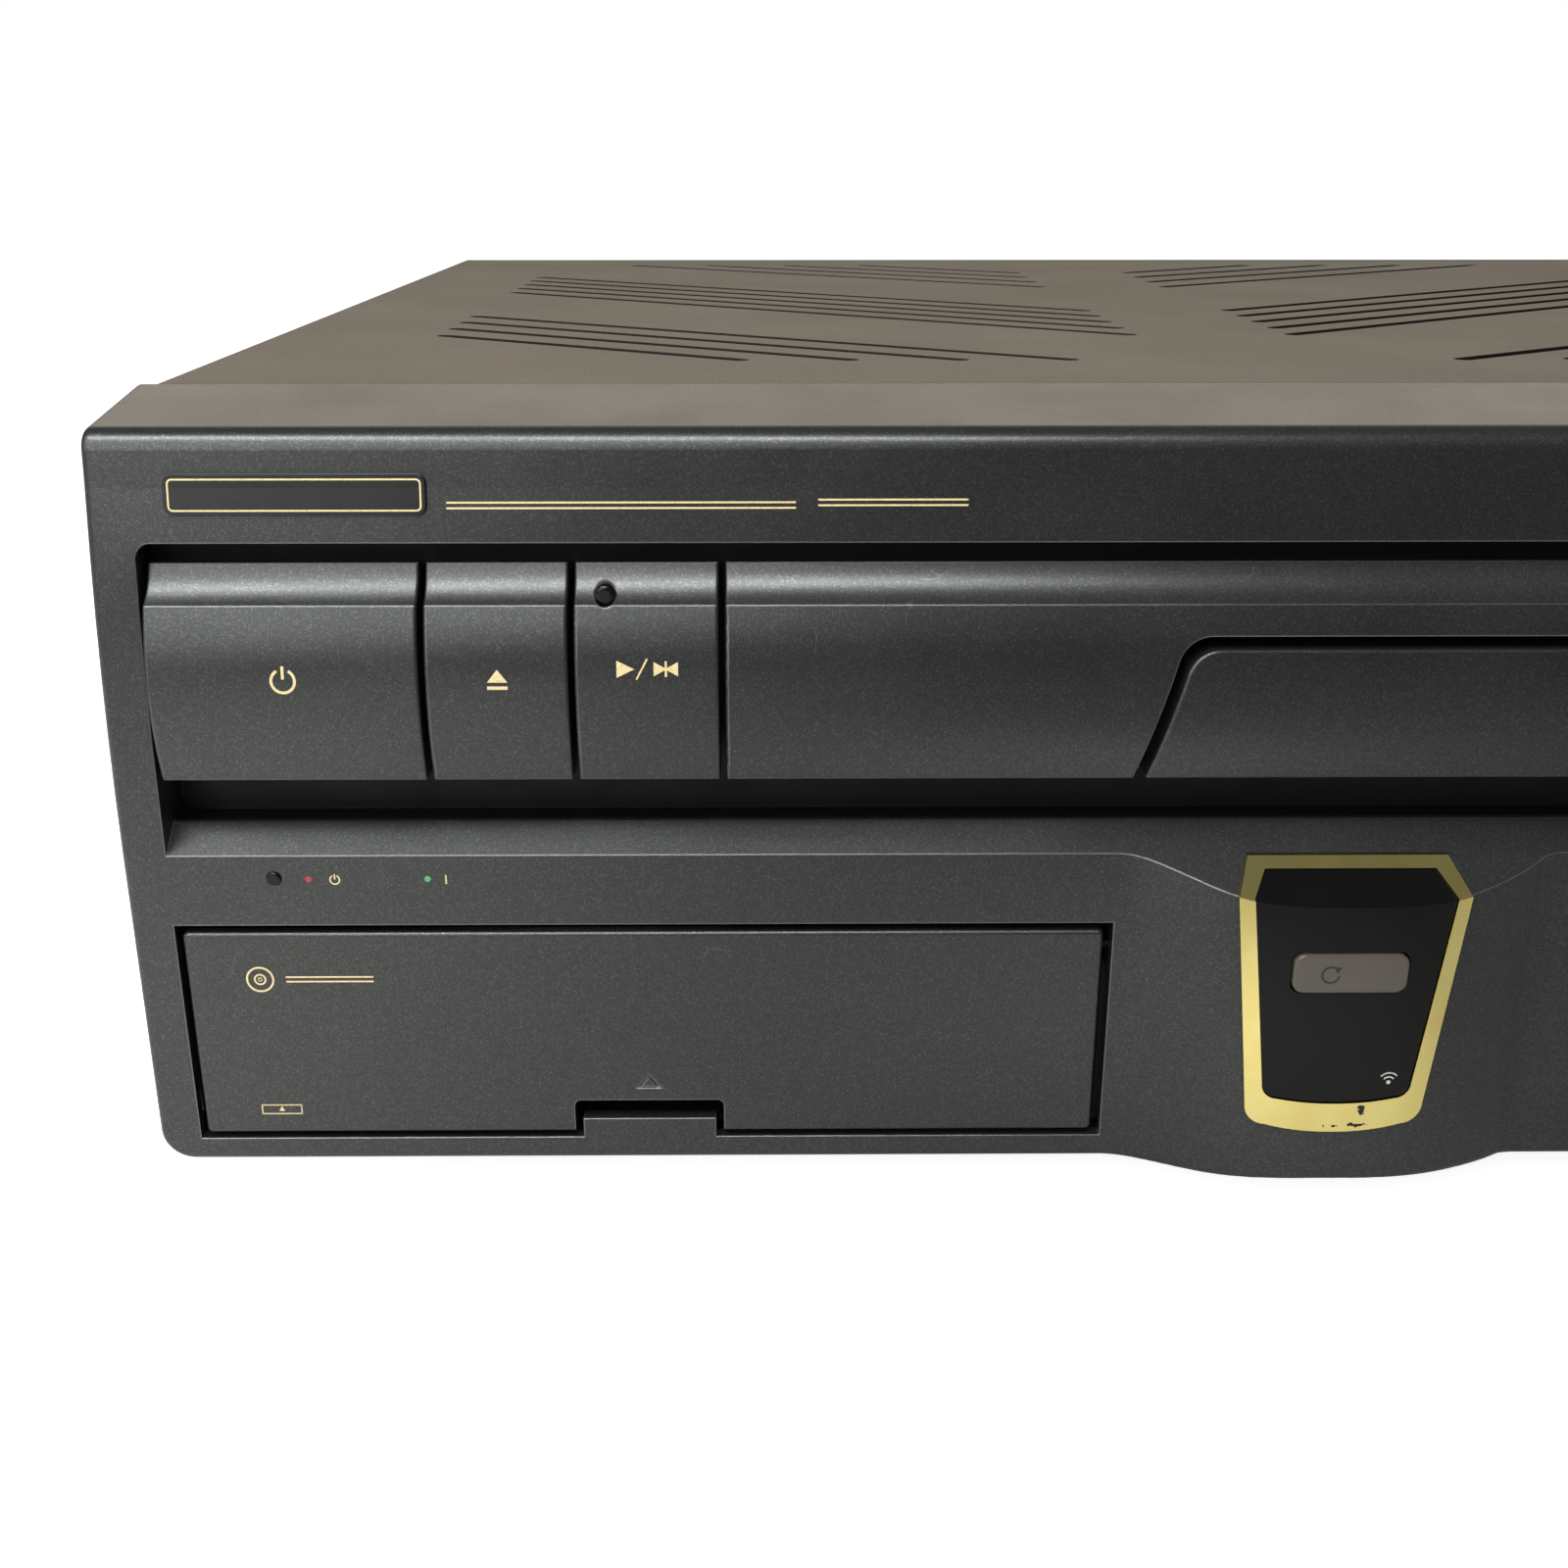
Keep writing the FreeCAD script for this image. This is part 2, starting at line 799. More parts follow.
def key_middle_z():
    """Height of the upper keys' stems."""
    return key_z[1] - key_belly_drop


def reset_outline(grow):
    """Front view of the reset key, or of the hole round it."""
    z = (foot_height + reset_lift, foot_height + reset_lift + reset_height)
    return rounded(grown(span(nose_middle, reset_half), grow), grown(z, grow), reset_corner)


def display_x():
    """Limits of the display window along X."""
    return (display_from_middle, display_from_middle + display_width)


def display_z():
    """Limits of the display window along Z."""
    return (door_z[1] - display_height, door_z[1])


def lower_key_z():
    """Limits of the lower keys along Z."""
    return (foot_height + lower_key_lift, foot_height + lower_key_lift + lower_key_height)


def lower_key_outline(x, grow):
    """Front view of a lower key, or of the hole round it."""
    return rounded(grown(span(x, lower_key_width / 2), grow), grown(lower_key_z(), grow), lower_key_corner)


def panel_shell():
    """Skin of the front panel, open at the rear."""
    outside = extrude_x(panel_profile(0), (-case_half, case_half))
    crest = [edge for edge in outside.Edges
             if abs(edge.CenterOfMass.z - crest_z) < edge_pick
             and abs(edge.CenterOfMass.x) < edge_pick]
    outside = outside.makeFillet(crest_radius, crest)
    front_view = rounded((-case_half, case_half), (panel_low, player_height + panel_corner), panel_corner)
    outside = outside.common(extrude_y(front_view, (before_y, joint_y)))
    ends = [edge for edge in outside.Edges
            if abs(abs(edge.CenterOfMass.x) - case_half) < edge_pick
            and edge.CenterOfMass.z > ledge_z + ledge_rise
            and edge.CenterOfMass.y < joint_y - edge_pick]
    outside = outside.makeFillet(panel_edge, ends)
    inside = extrude_x(panel_profile(panel_wall), (-case_half + panel_wall, case_half - panel_wall))
    under = box((-case_half + panel_wall, case_half - panel_wall), (front_y + panel_lip, joint_y),
                (panel_low, panel_low + panel_wall))
    return outside.cut([inside, under])


def front_holes():
    """Cutting shapes for all that opens the front panel's face."""
    window_x = grown(display_x(), -display_lap)
    window_z = grown(display_z(), -display_lap)
    door_hole = box(door_hole_x, (before_y, bay_y[0]), door_hole_z)
    window_hole = box(window_x, (before_y, front_y + panel_lip), window_z)
    window_seat = box(display_x(), (before_y, front_y + display_thick), display_z())
    reset_hole = extrude_y(reset_outline(seat_gap), (before_y, front_y + panel_wall))
    holes = [recess_cut(), tray_opening(), door_hole, window_hole, window_seat, reset_hole, standby_hole()]
    holes += [stem_hole(x, key_middle_z(), past_back_wall()) for x in key_middles()]
    for x in lower_key_middles():
        outline = lower_key_outline(x, seat_gap)
        holes.append(extrude_y(outline, (before_y, front_y + panel_wall)))
    return holes


def nose_hollow():
    """Space inside the badge nose, in front of the face and above the panel's underside."""
    room_z = (panel_low + panel_wall, player_height)
    room = box(span(nose_middle, nose_half), (before_y, front_y + panel_wall), room_z)
    return nose_solid(panel_wall, -panel_wall).common(room)


def front_panel():
    """Moulded front with its recess, ledge, nose, door opening and key holes."""
    recess_walls = extrude_x(recess_steps(recess_wall), grown((-recess_half, recess_half), recess_wall))
    keep = extrude_x(panel_profile(0), (-case_half, case_half))
    panel = joined(panel_shell(), recess_walls.common(keep), rounded_nose())
    bay_room = box(grown(bay_x, seat_gap), (bay_y[0], joint_y), (floor_top, bay_z[1]))
    tab_x = span(door_x[0] + door_notch_from_left + door_notch_width / 2, door_tab_width / 2)
    tab_z = (door_hole_z[0], door_hole_z[0] + door_tab_height)
    tab = box(tab_x, (front_y, front_y + door_tab_thick), tab_z)
    return joined(panel.cut(front_holes() + [nose_hollow(), bay_room]), tab, *board_brackets())


def standby_hole():
    """Hole for the standby lamp."""
    x = -case_half + lamp_from_side
    z = ledge_z - lamp_below_ledge
    return rod(lamp_radius, (x, before_y, z), (x, front_y + panel_lip, z))


def vent_group(first, pitch, slope, count, y_limits, x_limits):
    """Parallel slanted slots, cut off at the group's front, rear and sides; y is from the flat face."""
    slots = []
    half = vent_width / 2
    low = player_height - cover_sheet - cut_past
    depth = cover_sheet + 2 * cut_past
    for index in range(count):
        middle = first + pitch * (count - 1 - index)
        start_x = x_limits[0]
        start_y = middle - slope * start_x
        if start_y > y_limits[1]:
            start_x = (middle - y_limits[1]) / slope
            start_y = y_limits[1]
        end_x = x_limits[1]
        end_y = middle - slope * end_x
        if end_y < y_limits[0]:
            end_x = (middle - y_limits[0]) / slope
            end_y = y_limits[0]
        start = Vector(start_x, front_y + start_y, low)
        run = Vector(end_x - start_x, end_y - start_y, 0)
        slot = Part.makeBox(run.Length, vent_width, depth, Vector(0, -half, 0))
        slot.rotate(Vector(0, 0, 0), Vector(0, 0, 1), math.degrees(math.atan2(run.y, run.x)))
        slot.translate(start)
        ends = [Part.makeCylinder(half, depth, point) for point in (start, start + run)]
        slots.append(slot.fuse(ends))
    return slots


def vent_slots():
    """All slots of the cover, left and right halves alike."""
    front = vent_group(vent_front_first, vent_front_pitch, vent_front_slope, vent_front_count,
                       (vent_front_low, spindle_to_rear), (-vent_side, -vent_inner_front))
    rear_limit = spindle_setback + spindle_to_rear
    middle = vent_group(vent_middle_first, vent_middle_pitch, vent_middle_slope, vent_middle_count,
                        (vent_front_low, rear_limit), (-vent_side, -vent_inner))
    rear = vent_group(vent_rear_first, vent_rear_pitch, vent_rear_slope, vent_rear_count,
                      (vent_front_low, vent_rear_high), (-vent_side, -vent_inner))
    left = front + middle + rear
    return left + [mirrored(slot, 0) for slot in left]


def top_cover():
    """Folded sheet cover: top and two sides, with vent slots and screw holes."""
    y = (joint_y + cover_seam, rear_y)
    low = foot_height + cover_hem
    outside = box((-cover_half, cover_half), y, (low, player_height))
    outside = outside.makeFillet(cover_fold, long_top_edges(outside, player_height))
    under_top = player_height - cover_sheet
    inside = box((-cover_in, cover_in), grown(y, cut_past), (low - cut_past, under_top))
    inside = inside.makeFillet(cover_fold - cover_sheet, long_top_edges(inside, under_top))
    holes = side_holes(screw_radius + seat_gap, cover_in, cover_half)
    return outside.cut([inside] + holes + vent_slots())


def long_top_edges(shape, top):
    """The two upper edges of a block that run from front to rear."""
    return [edge for edge in shape.Edges
            if abs(edge.CenterOfMass.z - top) < edge_pick and abs(edge.CenterOfMass.x) > edge_pick]


def side_holes(radius, inner, outer):
    """Cutting shapes for the side screws, through a wall between two distances from the middle."""
    holes = []
    for side in (-1, 1):
        for y in cover_screw_ys():
            start = (side * (inner - cut_past), y, cover_screw_z())
            end = (side * (outer + cut_past), y, cover_screw_z())
            holes.append(rod(radius, start, end))
    return holes


def cover_screw_z():
    """Height of the screws in the cover's sides."""
    return foot_height + cover_hem + cover_screw_lift


def cover_screw_ys():
    """Places of the cover's side screws along Y."""
    return (joint_y + cover_screw_inset, rear_y - cover_screw_inset)


def case_screws():
    """Slotted screws through the cover's sides and the rear panel, and plain ones in the feet."""
    left = [screw((-cover_half, y, cover_screw_z()), (1, 0, 0)) for y in cover_screw_ys()]
    right = [screw((cover_half, y, cover_screw_z()), (-1, 0, 0)) for y in cover_screw_ys()]
    rear = [screw((x, rear_panel_y + rear_sheet, z), (0, -1, 0)) for x, z in rear_screw_places()]
    below = [rod(screw_radius, (x, y, foot_pad_thick), (x, y, floor_top)) for x, y in foot_places()]
    return group(left + right + rear + below)


def chassis_half():
    """Half the width over the chassis flanges."""
    return cover_in - seat_gap


def bottom_chassis():
    """Folded sheet base with a flange along each side, and the posts pressed into it."""
    half = chassis_half()
    y = (front_y + panel_lip, rear_panel_y)
    plate = box((-half, half), y, (foot_height, floor_top))
    flange_z = (foot_height, foot_height + chassis_flange)
    flange = box((half - chassis_sheet, half), (joint_y, rear_panel_y), flange_z)
    holes = side_holes(screw_radius, half - chassis_sheet, half)
    for x, foot_y in foot_places():
        low = (x, foot_y, foot_height - cut_past)
        holes.append(rod(screw_radius, low, (x, foot_y, floor_top + cut_past)))
    sheet = joined(plate, flange, mirrored(flange, 0)).cut(holes)
    return group([joined(sheet, *rear_brackets())] + board_standoffs() + deck_posts())


def rear_panel():
    """Sheet rear wall with holes for the sockets and the screws."""
    half = chassis_half()
    y = (rear_panel_y, rear_panel_y + rear_sheet)
    plate = box((-half, half), y, (foot_height, player_height - cover_sheet - seat_gap))
    places = [(jack_insert_radius + seat_gap, x, z) for x, z in jack_places()]
    places += [(screw_radius, x, z) for x, z in rear_screw_places()]
    places.append((svideo_radius + seat_gap, svideo_x(), socket_z()))
    through = grown(y, cut_past)
    holes = [rod(radius, (x, through[0], z), (x, through[1], z)) for radius, x, z in places]
    holes.append(box(grown(inlet_x(), seat_gap), through, grown(inlet_z(), seat_gap)))
    return plate.cut(holes)


def rear_screw_places():
    """Screws near the rear panel's lower corners, into the chassis tabs."""
    x = chassis_half() - rear_screw_inset
    return [(-x, foot_height + rear_screw_lift), (x, foot_height + rear_screw_lift)]


def rear_brackets():
    """Upright tabs of the chassis that the rear screws go into."""
    brackets = []
    for x, z in rear_screw_places():
        y = (rear_panel_y - chassis_sheet, rear_panel_y)
        upright = box(span(x, screw_head_radius), y, (foot_height, z + screw_head_radius))
        hole = rod(screw_radius, (x, y[0] - cut_past, z), (x, y[1] + cut_past, z))
        brackets.append(upright.cut(hole))
    return brackets


def foot_places():
    """Middles of the four feet."""
    xs = (-case_half + foot_inset_x, case_half - foot_inset_x)
    ys = (front_y + foot_inset_front, rear_y - foot_inset_rear)
    return [(x, y) for x in xs for y in ys]


def feet():
    """Round moulded feet with a hollow for the pad."""
    pieces = []
    for x, y in foot_places():
        low = foot_pad_thick - foot_pad_sink
        body = cone(foot_radius - foot_foot_taper, foot_radius, (x, y, low), (x, y, foot_height))
        hollow = rod(foot_pad_radius, (x, y, low), (x, y, foot_pad_thick))
        hole = rod(screw_radius, (x, y, low), (x, y, foot_height))
        pieces.append(body.cut([hollow, hole]))
    return group(pieces)


def foot_pads():
    """Soft pads under the feet, ring-shaped round the screw."""
    return group([rod(foot_pad_radius, (x, y, 0), (x, y, foot_pad_thick)) for x, y in foot_places()])


# ---- keys, lamps, door, badge ----
def key_profile():
    """Side view of a key or tray front: cove at the top, sharp step, then a full belly."""
    return [
        (front_y + key_top_set, key_z[1]),
        (
            (front_y + key_cove_set, key_z[1] - key_cove_drop),
            (front_y + key_step_set, key_z[1] - key_step_drop),
        ),
        (
            (front_y - key_belly_reach, key_z[1] - key_belly_drop),
            (front_y + key_foot_set, key_z[0]),
        ),
        (front_y + key_back_set, key_z[0]),
        (front_y + key_back_set, key_z[1]),
    ]


def softened(shape, x):
    """Rounds the upright front edges at the ends of a key."""
    edges = [edge for edge in shape.Edges
             if min(abs(edge.CenterOfMass.x - end) for end in x) < edge_pick
             and edge.CenterOfMass.y < front_y + key_top_set - key_edge
             and edge.BoundBox.ZLength > key_edge]
    return shape.makeFillet(key_edge, edges)


def upper_key(x):
    """Hollow key with a stem that passes through the recess's back wall."""
    body = softened(extrude_x(key_profile(), x), x)
    hollow_z = (key_z[0] + key_skin, key_z[1] - key_step_drop - key_skin)
    hollow = box(grown(x, -key_skin), (front_y + key_top_set - key_skin, front_y + key_back_set), hollow_z)
    stem_y = (front_y + key_foot_set + key_skin, recess_back_y + recess_wall + key_stem_past_wall)
    stem = box(span(sum(x) / 2, key_stem_half), stem_y, span(key_middle_z(), key_stem_half))
    return joined(body.cut(hollow), stem)


def play_lamp_place():
    """Middle of the play lamp on the key's cove."""
    x = play_key_x[0] + play_lamp_from_left
    return (x, front_y + key_step_set + key_skin, key_z[1] - play_lamp_drop)


def play_still_button():
    """Play key with a hole for its lamp."""
    x, y, z = play_lamp_place()
    hole = rod(play_lamp_radius, (x, before_y, z), (x, y + play_lamp_length, z))
    return upper_key(play_key_x).cut(hole)


def play_lamp_lens():
    """Domed lamp lens in the play key."""
    x, y, z = play_lamp_place()
    tip = y - play_lamp_raise
    body = rod(play_lamp_radius, (x, tip, z), (x, y + play_lamp_length, z))
    rim = [edge for edge in body.Edges if abs(edge.CenterOfMass.y - tip) < edge_pick]
    return body.makeFillet(play_lamp_raise, rim)


def standby_lamp_lens():
    """Small lamp lens in the lower face."""
    x = -case_half + lamp_from_side
    z = ledge_z - lamp_below_ledge
    tip = front_y - lamp_raise
    body = rod(lamp_radius, (x, tip, z), (x, front_y + lamp_length, z))
    rim = [edge for edge in body.Edges if abs(edge.CenterOfMass.y - tip) < edge_pick]
    return body.makeFillet(lamp_edge, rim)


def door_notch():
    """Finger notch in the door's lower edge."""
    start = door_x[0] + door_notch_from_left
    x = (start, start + door_notch_width)
    outline = rounded(x, span(door_z[0], door_notch_height), door_notch_corner)
    return extrude_y(outline, grown((front_y, front_y + door_thick), cut_past))


def door_mark():
    """Engraved triangle outline above the notch."""
    middle = door_x[0] + door_notch_from_left + door_notch_width / 2
    low = door_z[0] + door_notch_height + door_mark_lift
    half = door_mark_width / 2
    foot_angle = math.atan(door_mark_height / half)
    foot_in = door_mark_line / math.tan(foot_angle / 2)
    top_in = door_mark_line / math.cos(foot_angle)
    outer = [
        (middle - half, low),
        (middle + half, low),
        (middle, low + door_mark_height),
    ]
    inner = [
        (middle - half + foot_in, low + door_mark_line),
        (middle + half - foot_in, low + door_mark_line),
        (middle, low + door_mark_height - top_in),
    ]
    y = (front_y - cut_past, front_y + door_mark_depth)
    return extrude_y(outer, y).cut(extrude_y(inner, y))


def door_pivot():
    """Height and depth of the door's hinge line."""
    return (front_y + door_thick + door_pin_set, door_z[1] - door_pin_drop)


def door_ear_xs():
    """Limits of the door's two ears along X."""
    left = door_x[0] + seat_gap
    right = door_x[1] - seat_gap
    return [(left, left + door_ear_width), (right - door_ear_width, right)]


def pack_port_door():
    """Flap over the pack bay, with ears that turn on the hinge pins."""
    plate = extrude_y(rounded(door_x, door_z, door_corner), (front_y, front_y + door_thick))
    top = [edge for edge in plate.Edges
           if abs(edge.CenterOfMass.z - door_z[1]) < edge_pick
           and abs(edge.CenterOfMass.y - front_y) < edge_pick]
    plate = plate.makeFillet(door_edge, top)
    y, z = door_pivot()
    ears = []
    holes = [door_notch(), door_mark()]
    for x in door_ear_xs():
        past = grown(x, cut_past)
        ears.append(rod(door_ear_radius, (x[0], y, z), (x[1], y, z)))
        ears.append(box(x, (front_y + door_thick, y), span(z, door_ear_radius)))
        holes.append(rod(door_pin_radius + run_gap, (past[0], y, z), (past[1], y, z)))
    return joined(plate, *ears).cut(holes)


def door_hinge_pins():
    """Steel pins for the door, held in the bay's two cheeks."""
    y, z = door_pivot()
    left = rod(door_pin_radius, (bay_x[0], y, z), (bay_x[0] + door_pin_length, y, z))
    right = rod(door_pin_radius, (bay_x[1] - door_pin_length, y, z), (bay_x[1], y, z))
    return group([left, right])


def badge_shape(half_top, half_wide, half_low, z, corner, bow):
    """Front view of the badge: wide at the ledge's edge, round low corners; z is low, wide and top."""
    left_via = corner_via((nose_middle - half_low + corner, z[0] + corner), corner, 225)
    right_via = corner_via((nose_middle + half_low - corner, z[0] + corner), corner, -45)
    return [
        (nose_middle - half_top, z[2]),
        (nose_middle - half_wide, z[1]),
        (nose_middle - half_low, z[0] + corner),
        (left_via, (nose_middle - half_low + corner, z[0])),
        ((nose_middle, z[0] - bow), (nose_middle + half_low - corner, z[0])),
        (right_via, (nose_middle + half_low, z[0] + corner)),
        (nose_middle + half_wide, z[1]),
        (nose_middle + half_top, z[2]),
    ]


def badge_outline():
    """Front view of the badge frame."""
    z = (foot_height + badge_low_lift, foot_height + badge_wide_lift, ledge_z + badge_top_rise)
    return badge_shape(badge_half_top, badge_half_wide, badge_half_low, z, badge_corner, badge_bow)


def badge_window_outline(shrink):
    """Front view of the dark window in the badge frame, which also covers the ledge."""
    low = foot_height + badge_low_lift + badge_border_low + shrink
    z = (low, foot_height + badge_wide_lift, ledge_z + badge_top_rise - badge_border_top - shrink)
    border = badge_border + shrink
    halves = [half - border for half in (badge_half_top, badge_half_wide, badge_half_low)]
    return badge_shape(*halves, z, badge_window_corner, badge_window_bow)


def badge_frame():
    """Thin metal frame that wraps the nose's front and its ledge."""
    skin = nose_solid(-badge_skin, badge_skin).cut(nose_solid(-badge_bond, badge_bond))
    frame = skin.common(extrude_y(badge_outline(), (before_y, front_y + ledge_run)))
    return frame.cut(extrude_y(badge_window_outline(0), (before_y, front_y + ledge_run)))


def badge_window():
    """Dark gloss window inside the badge frame, bent over the ledge's edge, with the key's hole."""
    skin = nose_solid(-badge_window_skin, badge_window_skin).cut(nose_solid(-badge_bond, badge_bond))
    outline = extrude_y(badge_window_outline(badge_gap), (before_y, front_y + ledge_run))
    hole = extrude_y(reset_outline(seat_gap), (before_y, front_y))
    return skin.common(outline).cut(hole)


def reset_button():
    """Small raised key in the badge window; its front follows the nose."""
    outline = extrude_y(reset_outline(0), (before_y, front_y + panel_wall))
    body = nose_solid(-reset_raise, ledge_rise).common(outline)
    front = [edge for edge in body.Edges if edge.BoundBox.YMax < front_y - nose_shoulder_reach / 2]
    body = body.makeFillet(reset_edge, front)
    middle_z = foot_height + reset_lift + reset_height / 2
    stem_end = lower_board_y[0] - 2 * switch_half - reset_travel - switch_rest_gap
    stem = box(span(nose_middle, key_stem_half), (front_y, stem_end), span(middle_z, key_stem_half))
    return joined(body, stem)


def lower_key(x):
    """Rectangular key below the display."""
    y = (front_y - lower_key_raise, front_y + lower_key_thick)
    body = extrude_y(lower_key_outline(x, 0), y)
    front = [edge for edge in body.Edges if abs(edge.CenterOfMass.y - y[0]) < edge_pick]
    return body.makeFillet(key_edge, front)


def display_window():
    """Dark window over the display tube."""
    x = grown(display_x(), -seat_gap / 2)
    z = grown(display_z(), -seat_gap / 2)
    return box(x, (front_y, front_y + display_thick), z)


def display_tube():
    """Flat glass display tube behind the window."""
    x = span(sum(display_x()) / 2, display_tube_width / 2)
    z = span(sum(display_z()) / 2, display_tube_height / 2)
    return box(x, (lower_board_y[0] - display_tube_depth, lower_board_y[0]), z)


def front_boards():
    """Two upright circuit boards: one behind the upper keys, one behind the display and lower keys."""
    upper_x = (power_key_x[0], play_key_x[1] - board_end_room)
    upper = box(upper_x, front_board_y, (key_z[0], key_z[1] - key_step_drop))
    lower_x = (nose_middle - nose_shoulder, display_x()[1] + display_board_lap)
    lower = box(lower_x, lower_board_y, (floor_top, door_hole_z[1]))
    return group([upper, lower])


def board_brackets():
    """Small arms on the recess's back wall that carry the upper board."""
    z = (key_z[0] + key_skin, key_z[0] + key_skin + board_arm_height)
    y = (recess_back_y + recess_wall, front_board_y[0])
    xs = (power_key_x[0] + key_stem_half, release_key_x[0], play_key_x[0])
    return [box(span(x, board_thick), y, z) for x in xs]


def switch(x, z, board_y, cap_y):
    """Push switch on a board, with its cap towards the key."""
    body = box(span(x, switch_half), (board_y - switch_half, board_y), span(z, switch_half))
    return joined(body, rod(switch_cap_radius, (x, board_y - switch_half, z), (x, cap_y, z)))


def key_switches():
    """All push switches on the two front boards."""
    stem_end = recess_back_y + recess_wall + key_stem_past_wall
    upper_cap = stem_end + key_travel + switch_rest_gap
    upper = [switch(x, key_middle_z(), front_board_y[0], upper_cap) for x in key_middles()]
    low_z = sum(lower_key_z()) / 2
    lower_cap = front_y + lower_key_thick + key_travel + switch_rest_gap
    lower = [switch(x, low_z, lower_board_y[0], lower_cap) for x in lower_key_middles()]
    reset_z = foot_height + reset_lift + reset_height / 2
    reset_cap = lower_board_y[0] - 2 * switch_half
    lower.append(switch(nose_middle, reset_z, lower_board_y[0], reset_cap))
    return group(upper + lower)


# ---- pack bay ----
def pack_bay():
    """Sheet box behind the door, open at the front, with a cheek each side for the hinge pins."""
    outside = box(bay_x, bay_y, bay_z)
    inside = box(door_hole_x, (bay_y[0] - cut_past, bay_y[1] - bay_wall), door_hole_z)
    y, z = door_pivot()
    cheek_y = (front_y + panel_wall, bay_y[0] + bay_wall)
    cheek_z = span(z, 2 * door_ear_radius)
    cheek_xs = ((bay_x[0], door_hole_x[0]), (door_hole_x[1], bay_x[1]))
    cheeks = [box(x, cheek_y, cheek_z) for x in cheek_xs]
    pin_hole = rod(door_pin_radius, (bay_x[0] - cut_past, y, z), (bay_x[1] + cut_past, y, z))
    return joined(outside.cut(inside), *cheeks).cut(pin_hole)


def connector_x():
    """Limits of the pack connector along X."""
    return span(sum(door_x) / 2, connector_width / 2)


def connector_z():
    """Limits of the pack connector along Z."""
    return (door_hole_z[0] + connector_lift, door_hole_z[0] + connector_lift + connector_height)


def pack_connector():
    """Edge connector at the bay's far end: a shroud with a tongue."""
    y = (bay_y[1] - bay_wall - connector_depth, bay_y[1] - bay_wall)
    body = box(connector_x(), y, connector_z())
    mouth_x = grown(connector_x(), -connector_wall)
    mouth = box(mouth_x, (y[0] - cut_past, y[1] - connector_wall), grown(connector_z(), -connector_wall))
    tongue_x = grown(connector_x(), -connector_tongue_set)
    tongue_z = span(sum(connector_z()) / 2, connector_tongue / 2)
    tongue = box(tongue_x, (y[0] + connector_wall, y[1]), tongue_z)
    return joined(body.cut(mouth), tongue)


# ---- trays ----
def drawer_front_outline(grow_side, grow_top, low):
    """Front view of the drawer front, or of the cut round it: sloping sides and round top corners."""
    lean = (drawer_half_low - drawer_half_high) / drawer_height
    lean_angle = math.atan(lean)
    low_half = drawer_half_low + grow_side + lean * (key_z[0] - low)
    top = key_z[0] + drawer_height + grow_top
    top_half = drawer_half_high + grow_side - lean * grow_top
    turn = (math.pi / 2 - lean_angle) / 2
    centre_x = top_half - drawer_corner * math.tan(turn)
    centre_z = top - drawer_corner
    via_x, via_z = corner_via((centre_x, centre_z), drawer_corner, math.degrees(lean_angle + turn))
    side_x, side_z = corner_via((centre_x, centre_z), drawer_corner, math.degrees(lean_angle))
    return [
        (tray_x - low_half, low),
        (tray_x + low_half, low),
        (tray_x + side_x, side_z),
        ((tray_x + via_x, via_z), (tray_x + centre_x, top)),
        (tray_x - centre_x, top),
        ((tray_x - via_x, via_z), (tray_x - side_x, side_z)),
    ]


def behind_front(x):
    """Cutting shape for all of a key profile that lies behind the tray fronts."""
    y = (front_y + tray_front_back, front_y + key_back_set + cut_past)
    return box(grown(x, cut_past), y, grown(key_z, cut_past))


def ld_tray_front():
    """Long front of the disc tray, cut out for the drawer front."""
    slab = softened(extrude_x(key_profile(), tray_front_x), tray_front_x)
    outline = drawer_front_outline(drawer_gap_side, drawer_gap_top, key_z[0] - cut_past)
    drawer_cut = extrude_y(outline, (before_y, recess_back_y))
    hollow_y = (front_y + key_top_set - key_skin, front_y + tray_front_back)
    hollow_low = key_z[0] + drawer_height + drawer_gap_top + key_skin
    hollow_z = (hollow_low, key_z[1] - key_step_drop - key_skin)
    hollow = box(grown(tray_front_x, -key_skin), hollow_y, hollow_z)
    return slab.cut([behind_front(tray_front_x), drawer_cut, hollow])


def cd_tray_front():
    """Front of the compact-disc drawer, flush in the tray front."""
    x = span(tray_x, drawer_half_low)
    outline = extrude_y(drawer_front_outline(0, 0, key_z[0]), (before_y, recess_back_y))
    body = extrude_x(key_profile(), x).common(outline).cut(behind_front(x))
    rim = [edge for edge in body.Edges
           if edge.CenterOfMass.y < front_y + key_foot_set
           and edge.CenterOfMass.z > key_z[0] + key_edge]
    return body.makeFillet(key_edge, rim)


def tray_rack():
    """Straight rack under the tray's left wing; one gap lies beside the pinion at rest."""
    pitch = math.pi * rack_module
    line_x = tray_x - rack_from_tray_middle
    lean = math.tan(math.radians(pressure_angle))
    half = pitch / 4 - tooth_backlash / 2
    tip = tooth_addendum * rack_module
    root = tooth_dedendum * rack_module
    first = -1
    last = int(tray_travel / pitch) + rack_spare_teeth
    low_y = pinion_y + first * pitch
    high_y = pinion_y + (last + 1) * pitch
    points = [(line_x + root + rack_web, low_y)]
    points.append((line_x + root + rack_web, high_y))
    points.append((line_x + root, high_y))
    for index in range(last, first - 1, -1):
        middle = pinion_y + (index + 0.5) * pitch
        points.append((line_x + root, middle + half + root * lean))
        points.append((line_x - tip, middle + half - tip * lean))
        points.append((line_x - tip, middle - half + tip * lean))
        points.append((line_x + root, middle - half - root * lean))
    points.append((line_x + root, low_y))
    teeth = extrude_z(points, rack_z)
    web_x = (line_x + root, line_x + root + rack_web)
    web = box(web_x, (low_y, high_y), (rack_z[0], tray_floor_z - tray_skin))
    return joined(teeth, web)


def tray_channel():
    """Half the width of the drawer's channel in the disc tray."""
    return drawer_plate_half + seat_gap


